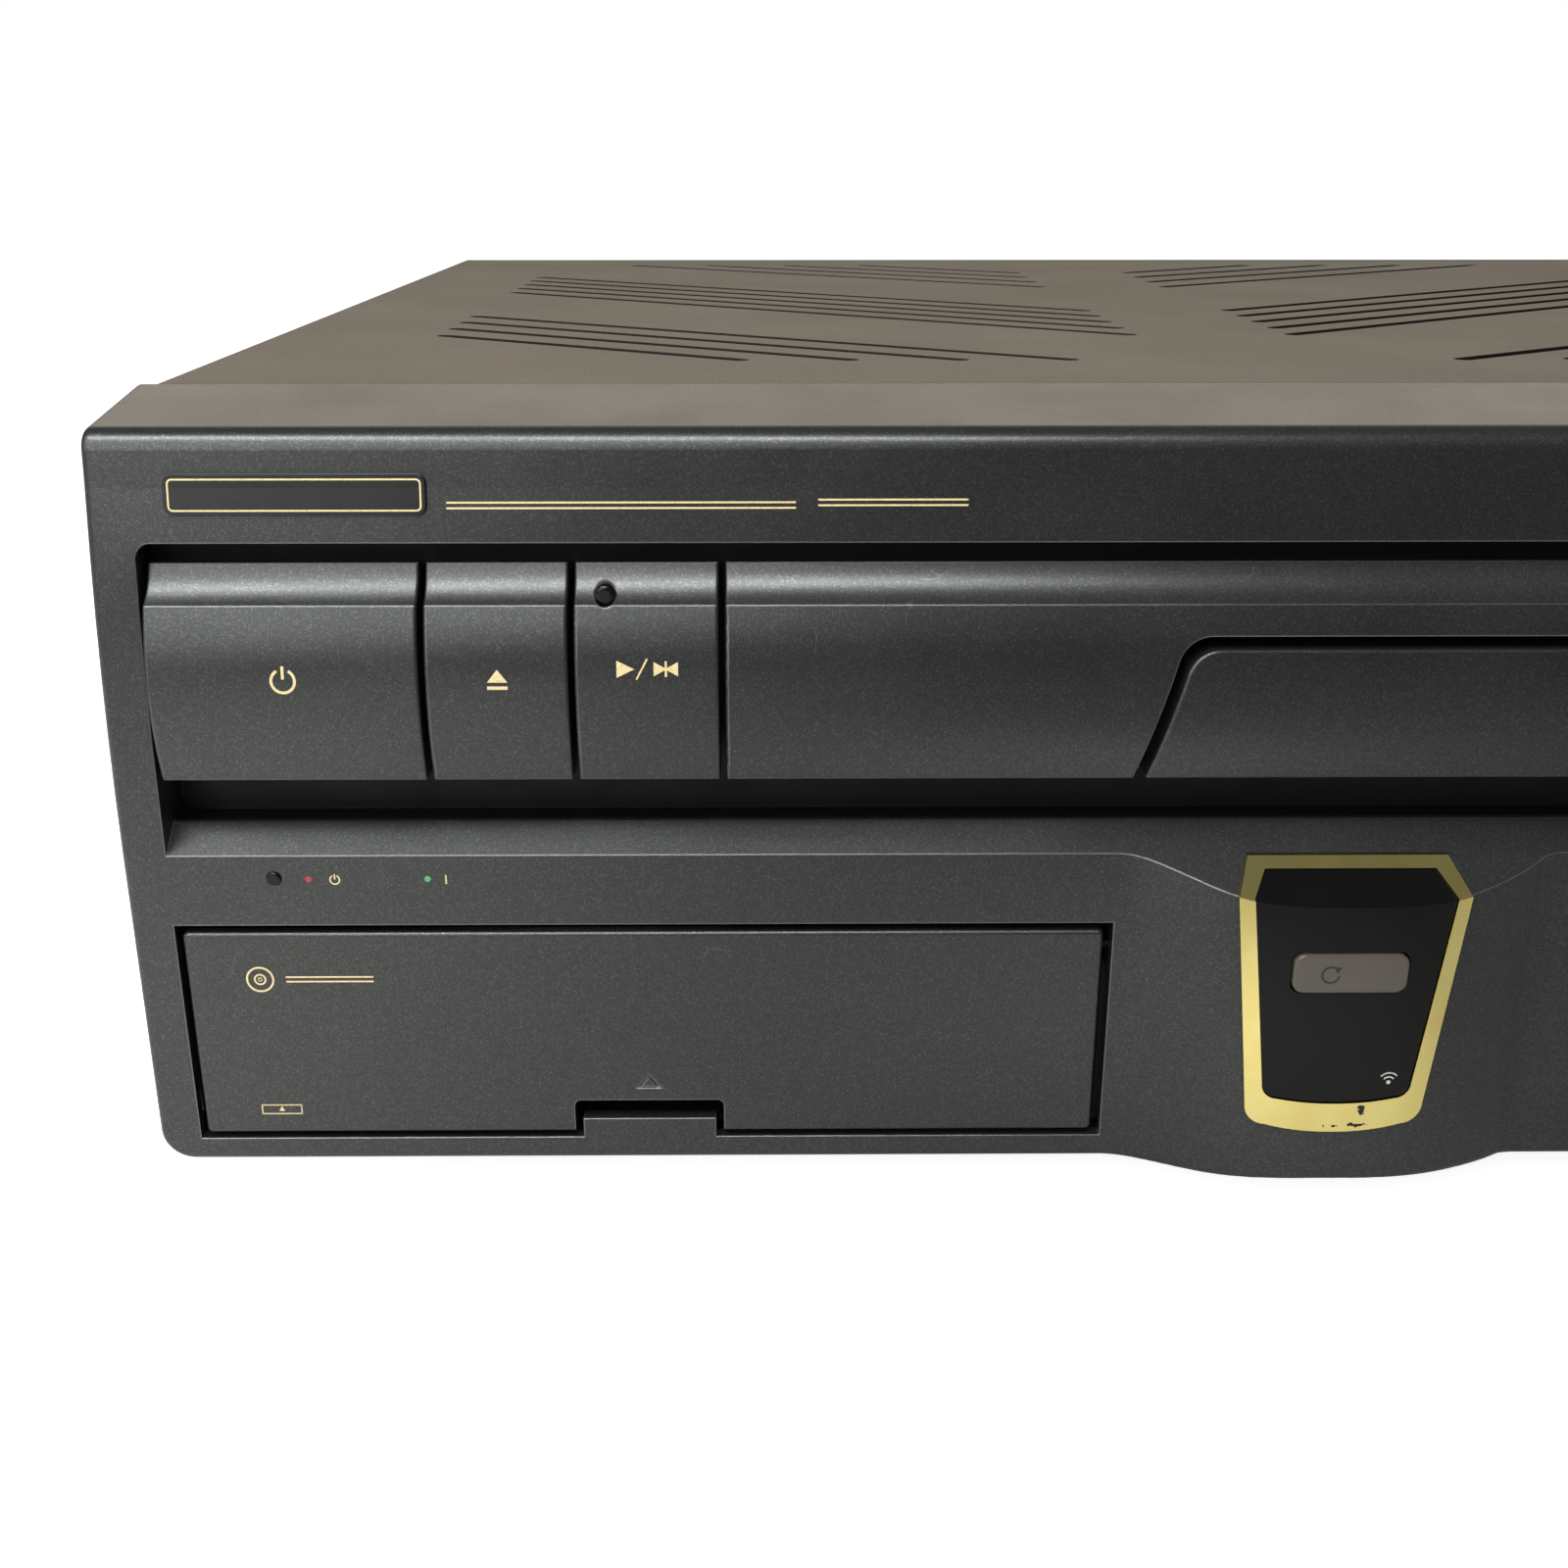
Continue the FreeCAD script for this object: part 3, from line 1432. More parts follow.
def tray_side_parts():
    """What the tray has on its right: the channel's wall, shelf and stop, the flange and its tail."""
    wall_x = (tray_x + tray_channel(), tray_x + tray_channel() + tray_wall)
    shelf_x = (wall_x[0] - drawer_shelf_reach, wall_x[1])
    wall_z = (tray_z, drawer_lip_z)
    side_x = tray_x + tray_half
    flange_y = (tray_front_y + tray_flange_set, tray_rear_y + tray_tail)
    return [
        box(wall_x, (tray_front_y, runner_end_y), wall_z),
        box(shelf_x, (tray_front_y, runner_end_y), (tray_z, tray_z + drawer_shelf)),
        box(shelf_x, (runner_end_y, runner_end_y + tray_wall), wall_z),
        box((side_x - tray_wall, side_x + tray_flange), flange_y, flange_z),
        box((side_x - tray_wall, side_x), (tray_rear_y, tray_rear_y + tray_tail), wall_z),
    ]


def tray_cuts():
    """Room in the disc tray for the drawer, the turntable and the pickup."""
    y = (tray_front_y - cut_past, drawer_rear_y + cut_past)
    over = tray_rim_z + cut_past
    under = tray_z - cut_past
    shelf_top = tray_z + drawer_shelf
    return [
        box(span(tray_x, tray_channel() - drawer_lip_reach), y, (drawer_lip_z - cut_past, over)),
        box(span(tray_x, tray_channel()), y, (shelf_top, drawer_lip_z)),
        box(span(tray_x, tray_channel() - drawer_shelf_reach), y, (under, shelf_top)),
        box(span(tray_x, tray_slot_half), (spindle_y, slot_end_y), (under, over)),
        rod(tray_hub_hole, (tray_x, spindle_y, under), (tray_x, spindle_y, over)),
    ]


def ld_tray():
    """Disc tray: two wings and a rear bridge round the drawer's channel, with side flanges and a rack."""
    body = box(span(tray_x, tray_half), (tray_front_y, tray_rear_y), (tray_z, tray_rim_z))
    under_y = (tray_front_y + tray_wall, tray_rear_y + cut_past)
    under = box(span(tray_x, tray_half - tray_wall), under_y, (tray_z - cut_past, drawer_lip_z))
    well_top = (tray_x, spindle_y, tray_rim_z + cut_past)
    well = rod(disc_radius + disc_side_room, (tray_x, spindle_y, tray_floor_z), well_top)
    right = tray_side_parts()
    left = [mirrored(piece, tray_x) for piece in right]
    shell = joined(body.cut([under, well]), *(right + left), tray_rack())
    return shell.cut(tray_cuts())


def cd_tray():
    """Drawer plate with a well for a compact disc, open behind for the pickup, and two long runners."""
    y = (tray_front_y, drawer_rear_y)
    past_y = grown(y, cut_past)
    over = drawer_z[1] + cut_past
    under = drawer_z[0] - cut_past
    side_x = tray_x + drawer_plate_half
    rebate_z = drawer_lip_z - seat_gap
    plate = box(span(tray_x, drawer_plate_half), y, drawer_z)
    rebate = box((side_x - drawer_lip_room, side_x + cut_past), past_y, (rebate_z, over))
    well_floor = (tray_x, spindle_y, drawer_z[1] - drawer_well_depth)
    well = rod(small_disc_radius + small_disc_room, well_floor, (tray_x, spindle_y, over))
    slot = box(span(tray_x, drawer_slot_half), (spindle_y, past_y[1]), (under, over))
    hub_hole = rod(drawer_slot_half, (tray_x, spindle_y, under), (tray_x, spindle_y, over))
    hollow_x = span(tray_x, drawer_plate_half - drawer_lip_room - tray_wall)
    hollow_y = (y[0] + tray_wall, spindle_y - small_disc_radius - tray_wall)
    hollow = box(hollow_x, hollow_y, (under, drawer_z[1] - tray_skin))
    runner_x = (side_x - drawer_arm_width, side_x)
    runner = box(runner_x, (y[1], runner_end_y - seat_gap), (drawer_z[0], rebate_z))
    cuts = [rebate, mirrored(rebate, tray_x), well, slot, hub_hole, hollow]
    return joined(plate.cut(cuts), runner, mirrored(runner, tray_x))


# ---- tray drive ----
def drive_pinion():
    """Compound gear: small wheel in mesh with the tray's rack, large wheel below it."""
    centre = (pinion_x, pinion_y)
    top_z = (wheel_z[1], rack_z[1])
    small = gear(pinion_teeth, rack_module, top_z, centre, 0)
    large = gear(train_wheel_teeth, train_module, wheel_z, centre, 0)
    bore = rod(post_radius + run_gap, (*centre, wheel_z[0] - cut_past), (*centre, top_z[1] + cut_past))
    return joined(small, large).cut(bore)


def belt_gear():
    """Belt pulley with a small gear on top."""
    centre = (pinion_x, belt_gear_y)
    half_tooth = 180 / train_pinion_teeth
    small = gear(train_pinion_teeth, train_module, (pulley_z[1], wheel_z[1]), centre, half_tooth)
    pulley = grooved(centre, pulley_radius)
    bore = rod(post_radius + run_gap, (*centre, pulley_z[0] - cut_past), (*centre, wheel_z[1] + cut_past))
    return joined(small, pulley).cut(bore)


def grooved(centre, radius):
    """Pulley with a belt groove of the given radius."""
    x, y = centre
    flange = (pulley_width - belt_thick) / 2 - seat_gap
    low = rod(radius + pulley_rim, (x, y, pulley_z[0]), (x, y, pulley_z[0] + flange))
    high = rod(radius + pulley_rim, (x, y, pulley_z[1] - flange), (x, y, pulley_z[1]))
    core = rod(radius, (x, y, pulley_z[0]), (x, y, pulley_z[1]))
    return joined(core, low, high)


def motor_pulley():
    """Small pulley on the loading motor, with its shaft."""
    pulley = grooved((pinion_x, loading_motor_y), motor_pulley_radius)
    shaft_low = loading_motor_z()[1] - motor_plate_gap
    axis = (pinion_x, loading_motor_y)
    shaft = rod(motor_shaft_radius, (*axis, shaft_low), (*axis, pulley_z[1]))
    return joined(pulley, shaft)


def loading_motor_z():
    """Limits of the loading motor's can along Z."""
    return (deck_z[1], pulley_z[0] - motor_plate_gap)


def loading_motor():
    """Loading motor's can, standing on the deck, with a shaft hole."""
    z = loading_motor_z()
    can = rod(motor_radius, (pinion_x, loading_motor_y, z[0]), (pinion_x, loading_motor_y, z[1]))
    rim = [edge for edge in can.Edges if abs(edge.CenterOfMass.z - z[1]) < edge_pick]
    can = can.makeFillet(motor_plate_gap, rim)
    axis = (pinion_x, loading_motor_y)
    bore_low = z[1] - motor_plate_gap - cut_past
    return can.cut(rod(motor_shaft_radius + run_gap, (*axis, bore_low), (*axis, z[1] + cut_past)))


def belt_loop(grow):
    """Plan of a belt round the two pulleys, pushed out by grow."""
    big = pulley_radius + grow
    small = motor_pulley_radius + grow
    lean = math.asin((big - small) / belt_centres)
    reach = math.cos(lean)
    rise = math.sin(lean)
    big_y = belt_gear_y
    small_y = loading_motor_y
    return [
        (pinion_x - big * reach, big_y + big * rise),
        ((pinion_x, big_y - big), (pinion_x + big * reach, big_y + big * rise)),
        (pinion_x + small * reach, small_y + small * rise),
        ((pinion_x, small_y + small), (pinion_x - small * reach, small_y + small * rise)),
    ]


def drive_belt():
    """Square-section belt between the two pulleys."""
    z = span(sum(pulley_z) / 2, belt_thick / 2)
    outside = extrude_z(belt_loop(run_gap + belt_thick), z)
    return outside.cut(extrude_z(belt_loop(run_gap), grown(z, cut_past)))


def gear_posts():
    """Steel posts that the gears turn on, each with a collar below its gear."""
    posts = []
    for y, seat_z, top_z in ((pinion_y, wheel_z[0], rack_z[1]), (belt_gear_y, pulley_z[0], wheel_z[1])):
        post = rod(post_radius, (pinion_x, y, deck_z[1]), (pinion_x, y, top_z))
        collar = rod(train_hub_radius, (pinion_x, y, deck_z[1]), (pinion_x, y, seat_z - seat_gap))
        posts.append(joined(post, collar))
    return posts


# ---- mechanism deck ----
def mechanism_deck():
    """Deck plate over the bay and the power supply, with a wall along each side."""
    x = span(tray_x, deck_half)
    plate = box(x, deck_y, deck_z)
    wall_top = tray_z - seat_gap - guide_shelf
    wall = box((tray_x + deck_half - deck_wall, tray_x + deck_half), deck_y, (deck_z[0], wall_top))
    window_y = (spindle_y - deck_window_front, spindle_y + deck_window_rear)
    window = box(span(tray_x, deck_window_half), window_y, grown(deck_z, cut_past))
    return joined(plate, wall, mirrored(wall, tray_x)).cut(window)


def deck_pins():
    """Steel posts riveted to the deck: two for the gears and four for the lift carriage."""
    return group(gear_posts() + lift_posts())


def tray_guides():
    """Channels on the deck's walls: a shelf under each side of the tray and a lip over its flange."""
    wall_x = (tray_x + deck_half - deck_wall, tray_x + deck_half)
    low = tray_z - seat_gap - guide_shelf
    lip_low = flange_z[1] + seat_gap
    wall = box(wall_x, deck_y, (low, lip_low + guide_lip))
    shelf = box((wall_x[0] - guide_shelf_reach, wall_x[1]), deck_y, (low, low + guide_shelf))
    lip = box((tray_x + tray_half + seat_gap, wall_x[1]), deck_y, (lip_low, lip_low + guide_lip))
    right = joined(wall, shelf, lip)
    return group([right, mirrored(right, tray_x)])


def deck_post_places():
    """Posts that carry the deck where the bay doesn't."""
    right = tray_x + deck_half - deck_post_inset
    left = tray_x - deck_half + deck_post_inset
    rear = deck_y[1] - deck_post_inset
    front = deck_y[0] + deck_post_inset
    return [(right, front), (right, rear), (left, rear), (bay_x[1] + deck_post_inset, front)]


def deck_posts():
    """Round posts pressed into the chassis, which carry the deck."""
    return [rod(deck_post_radius, (x, y, floor_top), (x, y, deck_z[0])) for x, y in deck_post_places()]


def lift_post_places():
    """Middles of the four posts that the lift carriage rides on."""
    xs = span(tray_x, carriage_half - lift_post_inset)
    ys = (carriage_y[0] + lift_post_inset, carriage_y[1] - lift_post_inset)
    return [(x, y) for x in xs for y in ys]


def lift_posts():
    """Guide posts for the lift carriage, with a collar that it rests on."""
    top = carriage_z[1] + carriage_lift + carriage_thick
    posts = []
    for x, y in lift_post_places():
        post = rod(lift_post_radius, (x, y, deck_z[1]), (x, y, top))
        collar = rod(lift_collar_radius, (x, y, deck_z[1]), (x, y, carriage_z[0] - run_gap))
        posts.append(joined(post, collar))
    return posts


def rod_ys():
    """Limits of the pickup's guide rods along Y."""
    near = sled_y[0] - 2 * seat_gap - rod_lug
    return (near, carriage_y[1] - seat_gap)


def lift_carriage():
    """Plate that rises with the spindle motor and the pickup, with lugs for the guide rods."""
    plate = box(span(tray_x, carriage_half), carriage_y, carriage_z)
    past_z = grown(carriage_z, cut_past)
    post_bore = lift_post_radius + run_gap
    cuts = [rod(post_bore, (*place, past_z[0]), (*place, past_z[1])) for place in lift_post_places()]
    near, far = rod_ys()
    lug_z = (carriage_z[1], rod_z + guide_rod_radius + rod_lug_cap)
    screw_x = tray_x + screw_offset
    lugs = [box(span(screw_x, rod_lug_width / 2), (far - rod_lug, far), lug_z)]
    screw_bore = lead_screw_radius + run_gap
    bore_start = (screw_x, far - rod_lug - cut_past, rod_z)
    cuts.append(rod(screw_bore, bore_start, (screw_x, far + cut_past, rod_z)))
    for x in span(tray_x, guide_rod_half):
        lugs.append(box(span(x, rod_lug_width / 2), (near, near + rod_lug), lug_z))
        lugs.append(box(span(x, rod_lug_width / 2), (far - rod_lug, far), lug_z))
        cuts.append(rod(guide_rod_radius, (x, near, rod_z), (x, far, rod_z)))
    return joined(plate, *lugs).cut(cuts)


def guide_rods():
    """Two polished rods that the pickup sled runs on."""
    near, far = rod_ys()
    xs = span(tray_x, guide_rod_half)
    return group([rod(guide_rod_radius, (x, near, rod_z), (x, far, rod_z)) for x in xs])


def spindle_motor():
    """Flat motor under the turntable."""
    z = (carriage_z[1], platter_z[0] - spindle_motor_gap)
    axis = (tray_x, spindle_y)
    can = rod(spindle_motor_radius, (*axis, z[0]), (*axis, z[1]))
    rim = [edge for edge in can.Edges if abs(edge.CenterOfMass.z - z[1]) < edge_pick]
    can = can.makeFillet(spindle_motor_gap, rim)
    bore = rod(spindle_shaft_radius + run_gap, (*axis, z[0] + spindle_motor_gap), (*axis, z[1] + cut_past))
    return can.cut(bore)


def turntable():
    """Platter with a small-disc hub, a well for the sprung cone, and its shaft."""
    axis = (tray_x, spindle_y)
    platter = rod(platter_radius, (*axis, platter_z[0]), (*axis, platter_z[1]))
    hub = rod(hub_radius, (*axis, platter_z[0]), (*axis, platter_z[1] + hub_rise))
    well = rod(cone_radius + seat_gap, (*axis, platter_z[0] + cone_floor), (*axis, platter_z[1] + cut_past))
    shaft_low = carriage_z[1] + spindle_motor_gap + seat_gap
    shaft = rod(spindle_shaft_radius, (*axis, shaft_low), (*axis, platter_z[1]))
    return joined(platter.cut(well), hub, shaft)


def disc_cone():
    """Ring that centres a large disc and sinks under a small one."""
    axis = (tray_x, spindle_y)
    low = platter_z[0] + cone_floor + cone_sink + seat_gap
    top = platter_z[1] + cone_rise
    body = rod(cone_radius, (*axis, low), (*axis, top - cone_taper))
    tip = cone(cone_radius, cone_radius - cone_taper, (*axis, top - cone_taper), (*axis, top))
    return joined(body, tip).cut(rod(cone_inner, (*axis, low - cut_past), (*axis, top + cut_past)))


def lens_place():
    """Middle of the lens in plan."""
    return (tray_x, spindle_y + lens_radius_first)


def turret_limits():
    """Limits of the lens turret along X and Y."""
    x, y = lens_place()
    return span(x, turret_half), span(y, turret_length / 2)


def lens_top():
    """Height of the lens holder's rim."""
    return sled_z[1] + turret_rise - lens_raise


def pickup_sled():
    """Sled on the guide rods, with an open turret for the lens and a nut for the screw."""
    body = box(span(tray_x, sled_half), sled_y, sled_z)
    turret_x, turret_y = turret_limits()
    turret_top = sled_z[1] + turret_rise
    turret = box(turret_x, turret_y, (sled_z[1] - turret_wall, turret_top))
    pocket_x = grown(turret_x, -turret_wall)
    cuts = [box(pocket_x, grown(turret_y, -turret_wall), (sled_z[1], turret_top + cut_past))]
    past_y = grown(sled_y, cut_past)
    for x in span(tray_x, guide_rod_half):
        cuts.append(rod(guide_rod_radius + run_gap, (x, past_y[0], rod_z), (x, past_y[1], rod_z)))
    nut_x = tray_x + screw_offset
    nut_half = lead_screw_radius + nut_wall
    nut_z = span(rod_z, nut_half)
    nut = box((tray_x + sled_half, nut_x + nut_half), (sled_y[0], sled_y[0] + nut_length), nut_z)
    cuts.append(rod(lead_screw_radius + run_gap, (nut_x, past_y[0], rod_z), (nut_x, past_y[1], rod_z)))
    return joined(body, turret, nut).cut(cuts)


def lens_holder():
    """Sprung block that carries the lens inside the turret."""
    x, y = lens_place()
    low = sled_z[1] + seat_gap + lens_raise
    top = lens_top()
    block = box(span(x, lens_holder_half), span(y, lens_holder_half), (low, low + lens_holder_thick))
    wing_x = span(x, turret_half - turret_wall - seat_gap)
    wings = box(wing_x, span(y, lens_wing_half), (low, low + lens_wing_thick))
    barrel = rod(lens_radius + lens_raise, (x, y, low), (x, y, top))
    seat = rod(lens_radius, (x, y, top - lens_raise), (x, y, top + cut_past))
    return joined(block, wings, barrel).cut(seat)


def pickup_lens():
    """Small glass lens in its holder."""
    x, y = lens_place()
    return rod(lens_radius, (x, y, lens_top() - lens_raise), (x, y, lens_top() - lens_sink))


def lead_screw_ys():
    """Limits of the lead screw along Y."""
    return (sled_y[0] - seat_gap, rod_ys()[1])


def lead_screw():
    """Screw that drives the sled, from its motor to the far lug."""
    x = tray_x + screw_offset
    y = lead_screw_ys()
    return rod(lead_screw_radius, (x, y[0], rod_z), (x, y[1], rod_z))


def sled_motor():
    """Small motor at the near end of the lead screw, clipped to the carriage."""
    x = tray_x + screw_offset
    rear = lead_screw_ys()[0] - seat_gap
    y = (rear - sled_motor_length, rear)
    can = rod(sled_motor_radius, (x, y[0], rod_z), (x, y[1], rod_z))
    cradle_y = span(sum(y) / 2, sled_cradle_half)
    cradle = box(span(x, sled_motor_radius), cradle_y, (carriage_z[1], rod_z))
    below_x = span(x, sled_motor_radius + cut_past)
    below = box(below_x, grown(y, cut_past), (rod_z - sled_motor_radius - cut_past, carriage_z[1]))
    return joined(can, cradle).cut(below)


# ---- clamp ----
def clamp_arm_plan():
    """Plan of the clamp arm: narrow over the disc's middle, wide at its pivot."""
    near = spindle_y - clamp_arm_past_spindle
    far = spindle_y + clamp_arm_past_spindle
    wide = clamp_pivot_y - clamp_arm_past_spindle
    return [
        (tray_x - clamp_arm_half_front, near),
        (tray_x + clamp_arm_half_front, near),
        (tray_x + clamp_arm_half_front, far),
        (tray_x + clamp_arm_half_rear, wide),
        (tray_x + clamp_arm_half_rear, clamp_pivot_y),
        (tray_x - clamp_arm_half_rear, clamp_pivot_y),
        (tray_x - clamp_arm_half_rear, wide),
        (tray_x - clamp_arm_half_front, far),
    ]


def clamp_arm():
    """Sheet arm over the tray, with ears at its pivot and a hole for the puck's stem."""
    plate = extrude_z(clamp_arm_plan(), clamp_z)
    past_z = grown(clamp_z, cut_past)
    hole_radius = puck_stem_radius + puck_stem_room
    hole = rod(hole_radius, (tray_x, spindle_y, past_z[0]), (tray_x, spindle_y, past_z[1]))
    side_x = tray_x + clamp_arm_half_rear
    ear_y = span(clamp_pivot_y, clamp_ear / 2)
    ear = box((side_x - clamp_sheet, side_x), ear_y, (clamp_z[0] - clamp_ear / 2, clamp_z[1]))
    bore_start = (tray_x - clamp_arm_half_rear - cut_past, clamp_pivot_y, clamp_pivot_z)
    bore_end = (side_x + cut_past, clamp_pivot_y, clamp_pivot_z)
    bore = rod(clamp_pin_radius + run_gap, bore_start, bore_end)
    trim_x = span(tray_x, clamp_arm_half_rear - clamp_sheet)
    trim = box(trim_x, (ear_y[0], clamp_pivot_y + cut_past), past_z)
    return joined(plate.cut([hole, trim]), ear, mirrored(ear, tray_x)).cut(bore)


def clamp_bracket():
    """Two uprights on the deck, each with a riveted pivot pin."""
    near = tray_x + clamp_arm_half_rear + clamp_bracket_gap
    x = (near, near + clamp_sheet)
    y = span(clamp_pivot_y, clamp_bracket_depth / 2)
    upright = box(x, y, (deck_z[1], clamp_pivot_z + clamp_bracket_cap))
    foot = box((x[0], x[1] + clamp_bracket_depth), y, (deck_z[1], deck_z[1] + clamp_sheet))
    pin_start = (x[1] - clamp_pin_length, clamp_pivot_y, clamp_pivot_z)
    pin = rod(clamp_pin_radius, pin_start, (x[1], clamp_pivot_y, clamp_pivot_z))
    side = joined(upright, foot, pin)
    return group([side, mirrored(side, tray_x)])


def clamp_puck():
    """Puck that holds the disc down, hung loosely in the arm's hole."""
    axis = (tray_x, spindle_y)
    top = clamp_z[0] - puck_drop
    low = top - puck_thick
    body = rod(puck_radius, (*axis, low), (*axis, top))
    well = rod(puck_well_radius, (*axis, low - cut_past), (*axis, low + puck_well_depth))
    rest = clamp_z[1] + seat_gap
    stem = rod(puck_stem_radius, (*axis, top), (*axis, rest))
    flange = rod(puck_flange_radius, (*axis, rest), (*axis, rest + puck_flange_thick))
    return joined(body.cut(well), stem, flange)


# ---- electronics ----
def main_board_limits():
    """Limits of the main board along X and Y."""
    x = span(main_board_middle, main_board_half)
    y = (bay_y[1] + main_board_front_room, rear_panel_y - main_board_rear_room)
    return x, y


def main_board():
    """Large circuit board behind the bay with its flat packages, cut out for a deck post."""
    x, y = main_board_limits()
    past_z = grown(board_z, cut_past)
    hole_radius = deck_post_radius + board_hole_room
    holes = [rod(hole_radius, (*place, past_z[0]), (*place, past_z[1])) for place in deck_post_places()]
    first = main_board_middle - chip_pitch * (chip_count - 1) / 2
    chip_y = span(y[0] + chip_from_edge, chip_width / 2)
    chip_z = (board_z[1], board_z[1] + chip_height)
    middles = [first + chip_pitch * index for index in range(chip_count)]
    chips = [box(span(middle, chip_width / 2), chip_y, chip_z) for middle in middles]
    return group([box(x, y, board_z).cut(holes)] + chips)


def power_board_limits():
    """Limits of the power board along X and Y."""
    x_high = chassis_half() - power_board_side_room
    y_low = front_y + power_board_front_room
    return (x_high - power_board_width, x_high), (y_low, y_low + power_board_length)


def power_board():
    """Narrow circuit board for the supply, along the right side."""
    x, y = power_board_limits()
    return box(x, y, board_z)


def board_standoffs():
    """Posts pressed into the chassis under the two flat boards."""
    pieces = []
    for x, y in (main_board_limits(), power_board_limits()):
        for post_x in grown(x, -standoff_inset):
            for post_y in grown(y, -standoff_inset):
                low = (post_x, post_y, floor_top)
                pieces.append(rod(standoff_radius, low, (post_x, post_y, board_z[0])))
    return pieces


def capacitors():
    """Upright smoothing capacitors on the power board."""
    x, y = power_board_limits()
    can_x = x[0] + capacitor_from_edge
    top = board_z[1] + capacitor_height
    cans = []
    for index in range(capacitor_count):
        can_y = y[0] + capacitor_pitch * (index + 1)
        can = rod(capacitor_radius, (can_x, can_y, board_z[1]), (can_x, can_y, top))
        rim = [edge for edge in can.Edges if abs(edge.CenterOfMass.z - top) < edge_pick]
        cans.append(can.makeFillet(capacitor_edge, rim))
    return group(cans)


def heat_sink():
    """Finned heat sink standing on the power board."""
    x, y = power_board_limits()
    x_low = x[1] - sink_depth
    y_low = y[0] + sink_from_board_front
    z = (board_z[1], board_z[1] + sink_height)
    base = box((x_low, x_low + sink_base), (y_low, y_low + sink_width), z)
    fins = []
    for index in range(sink_fin_count):
        fin_y = y_low + sink_fin_pitch * (index + 1)
        fins.append(box((x_low, x[1]), (fin_y, fin_y + sink_fin), z))
    return joined(base, *fins)


def transformer():
    """Mains transformer: iron core with a wound coil round its middle."""
    x_high = chassis_half() - transformer_side_room
    x = (x_high - transformer_width, x_high)
    y_low = front_y + power_board_front_room
    y = (y_low, y_low + transformer_length)
    core = box(x, y, (floor_top, floor_top + transformer_core_height))
    coil_z = span(floor_top + transformer_core_height / 2, transformer_coil_height / 2)
    coil = box(grown(x, -transformer_coil_inset), grown(y, transformer_coil_spread), coil_z)
    upright = [edge for edge in coil.Edges
               if edge.BoundBox.XLength < edge_pick and edge.BoundBox.YLength < edge_pick]
    coil = coil.makeFillet(transformer_coil_corner, upright)
    return joined(core, coil)


def jack_places():
    """Middles of the phono jacks in X and Z: two rows of video, left and right."""
    places = []
    for index in range(jack_count):
        for row in range(2):
            x = -jack_from_middle - jack_pitch * index
            places.append((x, board_z[1] + jack_rise + jack_row_rise * row))
    return places


def socket_z():
    """Height of the single sockets."""
    return board_z[1] + socket_rise


def svideo_x():
    """Middle of the S-video socket along X."""
    return main_board_limits()[0][1] - svideo_from_edge


def jack_block():
    """Moulded block of the phono jacks, with an insert inside each metal shell."""
    xs = [x for x, z in jack_places()]
    zs = [z for x, z in jack_places()]
    y = (rear_panel_y - jack_block_depth, rear_panel_y)
    margin = jack_radius + jack_block_wall / 2
    body = box(grown((min(xs), max(xs)), margin), y, (board_z[1], max(zs) + margin))
    end = rear_y + jack_reach - seat_gap
    inserts = [rod(jack_insert_radius, (x, y[1], z), (x, end, z)) for x, z in jack_places()]
    bottom = y[0] + seat_gap
    holes = [rod(jack_hole_radius, (x, bottom, z), (x, end + cut_past, z)) for x, z in jack_places()]
    return joined(body, *inserts).cut(holes)


def phono_jacks():
    """Round metal shells of the phono jacks."""
    shells = []
    start = rear_panel_y + rear_sheet
    end = rear_y + jack_reach
    for x, z in jack_places():
        tube = rod(jack_radius, (x, start, z), (x, end, z))
        shells.append(tube.cut(rod(jack_insert_radius, (x, start - cut_past, z), (x, end + cut_past, z))))
    return group(shells)


def svideo_jack():
    """Round S-video socket on the main board."""
    x = svideo_x()
    z = socket_z()
    y = (rear_panel_y - socket_depth, rear_y - seat_gap)
    barrel = rod(svideo_radius, (x, y[0], z), (x, y[1], z))
    foot = box(span(x, svideo_radius), (y[0], rear_panel_y - seat_gap), (board_z[1], z))
    pins = []
    for pin_x in span(x, svideo_pin_half_x):
        for pin_z in span(z, svideo_pin_half_z):
            start = (pin_x, y[1] - svideo_pin_depth, pin_z)
            pins.append(rod(svideo_pin_radius, start, (pin_x, y[1] + cut_past, pin_z)))
    return joined(barrel, foot).cut(pins)


def inlet_x():
    """Limits of the mains inlet along X."""
    middle = case_half - inlet_from_side
    return span(middle, inlet_width / 2)


def inlet_z():
    """Limits of the mains inlet along Z."""
    return (board_z[1], board_z[1] + inlet_height)


def mains_inlet():
    """Two-pin mains inlet: an open shroud with two pins and a flange on the rear panel."""
    y = (rear_panel_y - inlet_depth, rear_panel_y + rear_sheet + inlet_flange_thick)
    body = box(inlet_x(), y, inlet_z())
    flange_y = (rear_panel_y + rear_sheet, y[1])
    flange = box(grown(inlet_x(), inlet_flange), flange_y, grown(inlet_z(), inlet_flange))
    mouth_y = (y[0] + inlet_wall, y[1] + cut_past)
    mouth = box(grown(inlet_x(), -inlet_wall), mouth_y, grown(inlet_z(), -inlet_wall))
    z = sum(inlet_z()) / 2
    middle = sum(inlet_x()) / 2
    pin_y = (mouth_y[0], mouth_y[0] + inlet_pin_length)
    pin_xs = span(middle, inlet_pin_half_pitch)
    pins = [rod(inlet_pin_radius, (x, pin_y[0], z), (x, pin_y[1], z)) for x in pin_xs]
    return joined(joined(body, flange).cut(mouth), *pins)


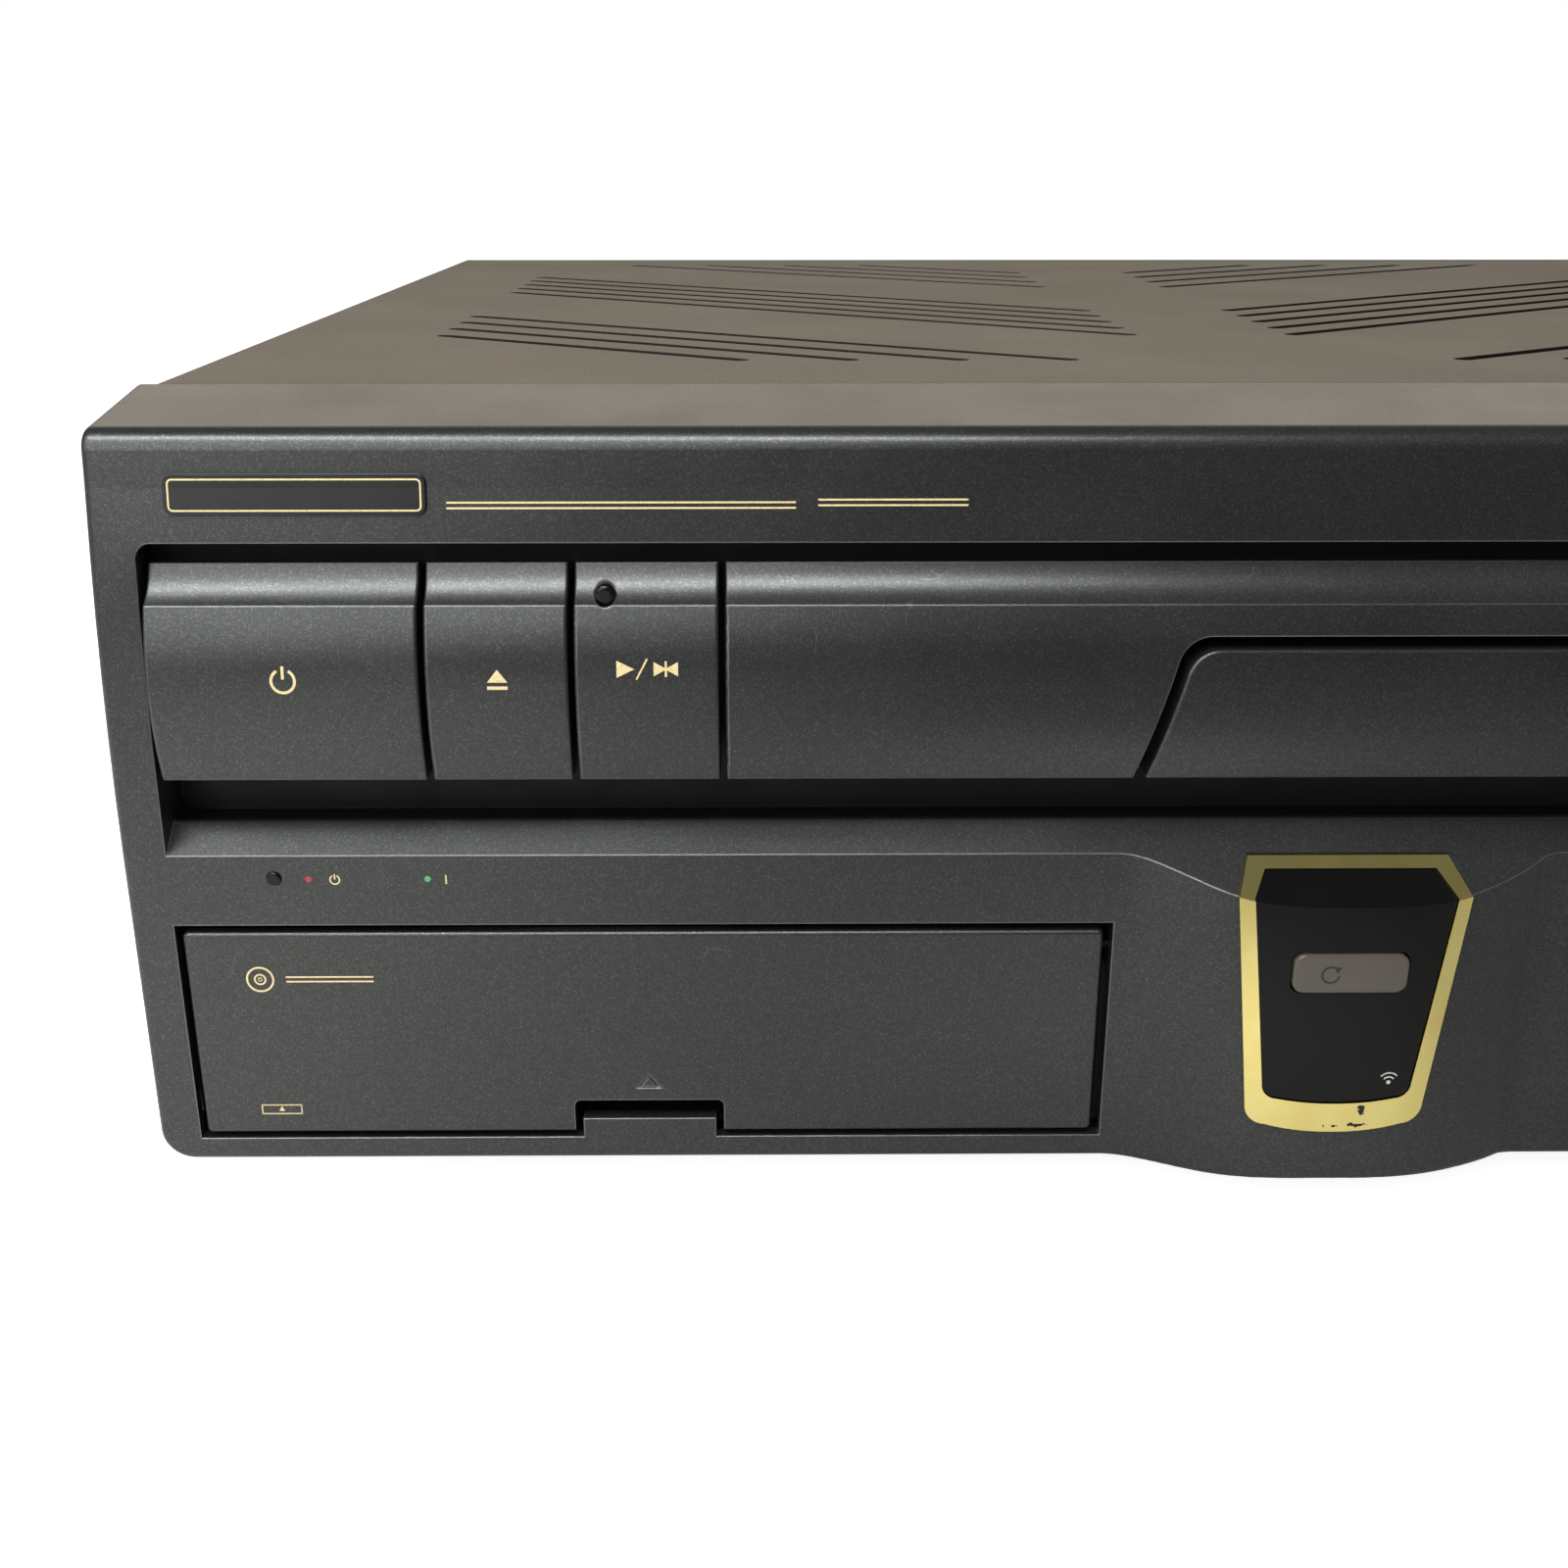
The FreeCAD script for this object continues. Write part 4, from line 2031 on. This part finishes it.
NODES = {
    "front_panel": front_panel,
    "top_cover": top_cover,
    "bottom_chassis": bottom_chassis,
    "rear_panel": rear_panel,
    "case_screws": case_screws,
    "feet": feet,
    "foot_pads": foot_pads,
    "power_button": lambda: upper_key(power_key_x),
    "pack_release_button": lambda: upper_key(release_key_x),
    "play_still_button": play_still_button,
    "play_lamp_lens": play_lamp_lens,
    "standby_lamp_lens": standby_lamp_lens,
    "pack_port_door": pack_port_door,
    "door_hinge_pins": door_hinge_pins,
    "badge_frame": badge_frame,
    "badge_window": badge_window,
    "reset_button": reset_button,
    "display_window": display_window,
    "display_tube": display_tube,
    "ld_open_button": lambda: lower_key(lower_key_middles()[0]),
    "cd_open_button": lambda: lower_key(lower_key_middles()[1]),
    "stop_button": lambda: lower_key(lower_key_middles()[2]),
    "front_boards": front_boards,
    "key_switches": key_switches,
    "pack_bay": pack_bay,
    "pack_connector": pack_connector,
    "ld_tray_front": ld_tray_front,
    "cd_tray_front": cd_tray_front,
    "ld_tray": ld_tray,
    "cd_tray": cd_tray,
    "tray_guides": tray_guides,
    "mechanism_deck": mechanism_deck,
    "deck_pins": deck_pins,
    "drive_pinion": drive_pinion,
    "belt_gear": belt_gear,
    "motor_pulley": motor_pulley,
    "loading_motor": loading_motor,
    "drive_belt": drive_belt,
    "lift_carriage": lift_carriage,
    "guide_rods": guide_rods,
    "spindle_motor": spindle_motor,
    "turntable": turntable,
    "disc_cone": disc_cone,
    "pickup_sled": pickup_sled,
    "lens_holder": lens_holder,
    "pickup_lens": pickup_lens,
    "lead_screw": lead_screw,
    "sled_motor": sled_motor,
    "clamp_arm": clamp_arm,
    "clamp_bracket": clamp_bracket,
    "clamp_puck": clamp_puck,
    "main_board": main_board,
    "power_board": power_board,
    "capacitors": capacitors,
    "heat_sink": heat_sink,
    "transformer": transformer,
    "jack_block": jack_block,
    "phono_jacks": phono_jacks,
    "svideo_jack": svideo_jack,
    "mains_inlet": mains_inlet,
}

os.makedirs("parts", exist_ok=True)
for name, make in NODES.items():
    shape = make()
    shape.exportStep("parts/" + name + ".step")
